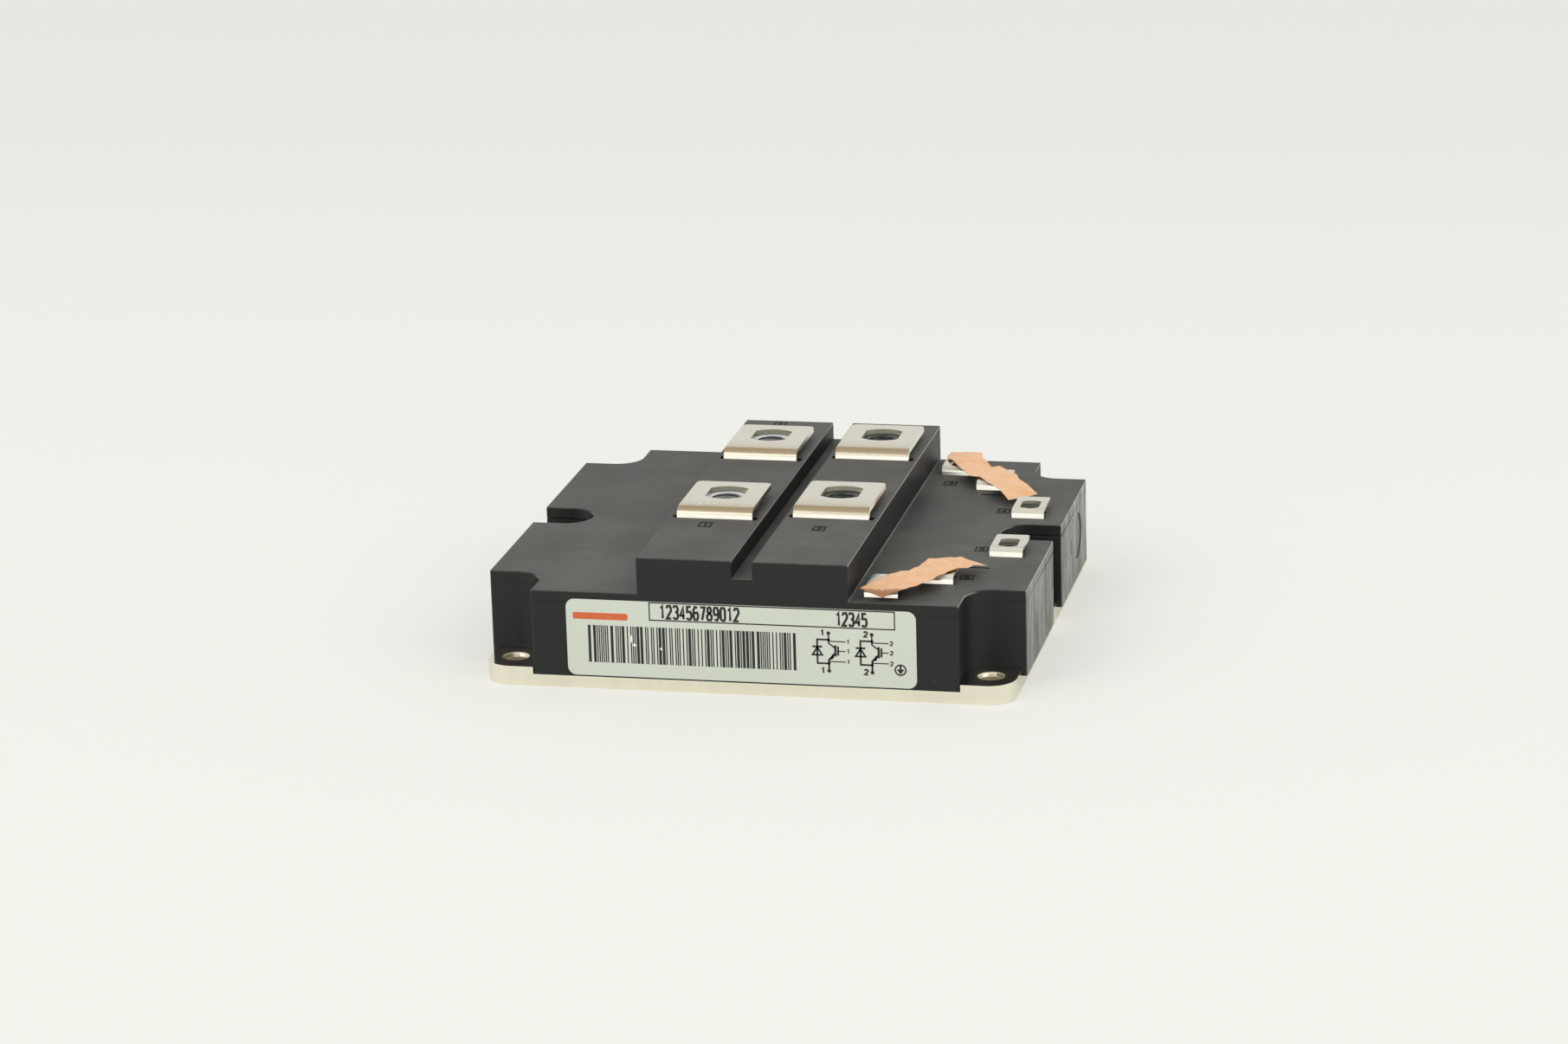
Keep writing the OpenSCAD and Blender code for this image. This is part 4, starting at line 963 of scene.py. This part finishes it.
class MODULE_OT_inside(bpy.types.Operator):
    """Finishes the ceramic circuit, its wires and leads, and the gel over them"""
    bl_idname = "module.inside"
    bl_label = "Circuit finish"

    def execute(self, context):
        by_tile = {
            "ceramic_tile": (fired_ceramic("white ceramic", (0.84, 0.84, 0.80, 1)), "ceramic"),
            "copper_tracks": (etched_copper("copper track", (0.78, 0.42, 0.27, 1), (0.45, 0.20, 0.11, 1)),
                              "copper_track"),
            "transistor_chips": (chip_face("transistor chip", (0.10, 0.10, 0.12, 1), (0.62, 0.62, 0.64, 1),
                                           0.0011), "transistor_chip"),
            "diode_chips": (chip_face("diode chip", (0.20, 0.20, 0.22, 1), (0.72, 0.72, 0.73, 1), 0.0030),
                            "diode_chip"),
            "bond_wires": (drawn_wire("bond wire", (0.84, 0.85, 0.86, 1)), "bond_wire"),
        }
        for kind, (material, slot) in by_tile.items():
            dress([f"{kind}_{place}" for place in POWER], material)
        by_end = {
            ("gate_lead", "gate_link"): (sleeve("gate sleeve", (0.80, 0.80, 0.76, 1)), "gate_lead"),
            ("emitter_lead",): (sleeve("emitter sleeve", (0.03, 0.06, 0.32, 1)), "emitter_lead"),
            ("collector_lead",): (sleeve("collector sleeve", (0.36, 0.02, 0.015, 1)), "collector_lead"),
        }
        for kinds, (material, slot) in by_end.items():
            dress([f"{kind}_{end}" for kind in kinds for end in ENDS], material)
        dress(["gel_filling"], clear_gel("soft gel", (0.70, 0.76, 0.80, 1)))
        return {"FINISHED"}


class MODULE_OT_stage(bpy.types.Operator):
    """Sets the floor, the light and the camera"""
    bl_idname = "module.stage"
    bl_label = "Stage"

    def execute(self, context):
        _, _, stage = settings()
        self.floor(stage)
        self.light(stage)
        self.camera(stage)
        context.scene.view_settings.view_transform = "Standard"
        return {"FINISHED"}

    @staticmethod
    def floor(stage):
        """A wide flat sheet that greys slowly with distance behind the module. Part of what the camera
        sees of it is its own plain colour, so the module's shadow is light, as on a lit table."""
        own = 0.5
        paint = Paint("studio floor", Roughness=0.9, Emission_Strength=own, Specular_IOR_Level=0.0)
        tone = paint.mix(paint.along("Y").fades(0.10, 0.70), stage.floor_near, stage.floor_far)
        seen = paint.add("ShaderNodeLightPath", output="Is Camera Ray")
        ground = paint.mix(own * seen, tone, grey(0.0))
        glow = paint.mix(seen, grey(0.0), tone)
        mesh = bpy.data.meshes.new("studio_floor")
        half, below = 4.0, -0.00005
        corners = [(x * half, y * half, below) for x, y in ((-1, -1), (1, -1), (1, 1), (-1, 1))]
        mesh.from_pydata(corners, [], [(0, 1, 2, 3)])
        mesh.materials.append(paint.drives(Base_Color=ground, Emission_Color=glow))
        floor = linked("studio_floor", mesh)

    @staticmethod
    def light(stage):
        """Even light from all round. Metal mirrors a bright surround and, high up, a warm ceiling."""
        world = bpy.data.worlds.new("studio surround")
        bpy.context.scene.world = world
        sky = Paint(world.name, world, "Background", Strength=stage.level)
        before = (0.0 - sky.along("Y")).fades(0.2, 0.8)
        low = sky.mix(before, stage.sky, stage.window)
        mirrored = sky.mix(sky.along("Z").fades(0.50, 0.86), low, stage.ceiling)
        glossy = sky.add("ShaderNodeLightPath", output="Is Glossy Ray")
        cool, warm = (0.97, 0.985, 1.0, 1), (1.0, 0.985, 0.95)
        sky.drives(Color=sky.mix(glossy, cool, mirrored))
        for name, where, size, share in (("soft lamp left", (-1.1, -1.0, 1.3), 1.2, 1.0),
                                         ("soft lamp right", (1.3, -0.6, 1.2), 1.2, 0.8)):
            data = bpy.data.lights.new(name, "AREA")
            data.shape, data.size, data.energy = "SQUARE", size, stage.lamp * share
            data.color = warm
            aim = Vector(where).to_track_quat("Z", "Y").to_matrix().to_4x4()
            linked(name, data).matrix_world = Matrix.Translation(where) @ aim

    @staticmethod
    def camera(stage):
        """Forward is +Y turned by the yaw and tipped down by the pitch. Right and up are then turned
        about it by the roll."""
        sy, cy, sp, cp = (f(a) for a in (stage.yaw, stage.pitch) for f in (math.sin, math.cos))
        forward = Vector((sy * cp, cy * cp, -sp))
        right = Vector((cy, -sy, 0.0))
        up = right.cross(forward)
        sr, cr = math.sin(stage.roll), math.cos(stage.roll)
        axes = Matrix((cr * right + sr * up, -sr * right + cr * up, -forward)).transposed()
        data = bpy.data.cameras.new("camera")
        data.sensor_width, data.lens = 36.0, stage.lens
        data.clip_start, data.clip_end = 0.01, 50.0
        camera = linked("camera", data)
        camera.matrix_world = Matrix.Translation(stage.eye) @ axes.to_4x4()
        bpy.context.scene.camera = camera


OPERATORS = (MODULE_OT_housing, MODULE_OT_metalwork, MODULE_OT_nuts, MODULE_OT_label, MODULE_OT_foils,
             MODULE_OT_marks, MODULE_OT_inside, MODULE_OT_stage)


class MODULE_PT_finish(bpy.types.Panel):
    """Lists the module's pieces with their sizes and colours"""
    bl_idname = "MODULE_PT_finish"
    bl_label = "Power module"
    bl_space_type = "VIEW_3D"
    bl_region_type = "UI"
    bl_category = "Module"

    def draw(self, context):
        for operator in OPERATORS:
            self.layout.operator(operator.bl_idname)
        for group in settings():
            box = self.layout.box()
            for name in group.__annotations__:
                box.prop(group, name)


CLASSES = (ModuleSizes, ModuleColours, StageSettings, *OPERATORS, MODULE_PT_finish)


def register():
    for kind in CLASSES:
        bpy.utils.register_class(kind)
    bpy.types.Scene.module_sizes = bpy.props.PointerProperty(type=ModuleSizes)
    bpy.types.Scene.module_colours = bpy.props.PointerProperty(type=ModuleColours)
    bpy.types.Scene.module_stage = bpy.props.PointerProperty(type=StageSettings)


def unregister():
    for name in ("module_stage", "module_colours", "module_sizes"):
        delattr(bpy.types.Scene, name)
    for kind in reversed(CLASSES):
        bpy.utils.unregister_class(kind)


def main():
    """Makes everything in order."""
    register()
    for operator in OPERATORS:
        group, name = operator.bl_idname.split(".")
        getattr(getattr(bpy.ops, group), name)()


if __name__ == "__main__":
    main()
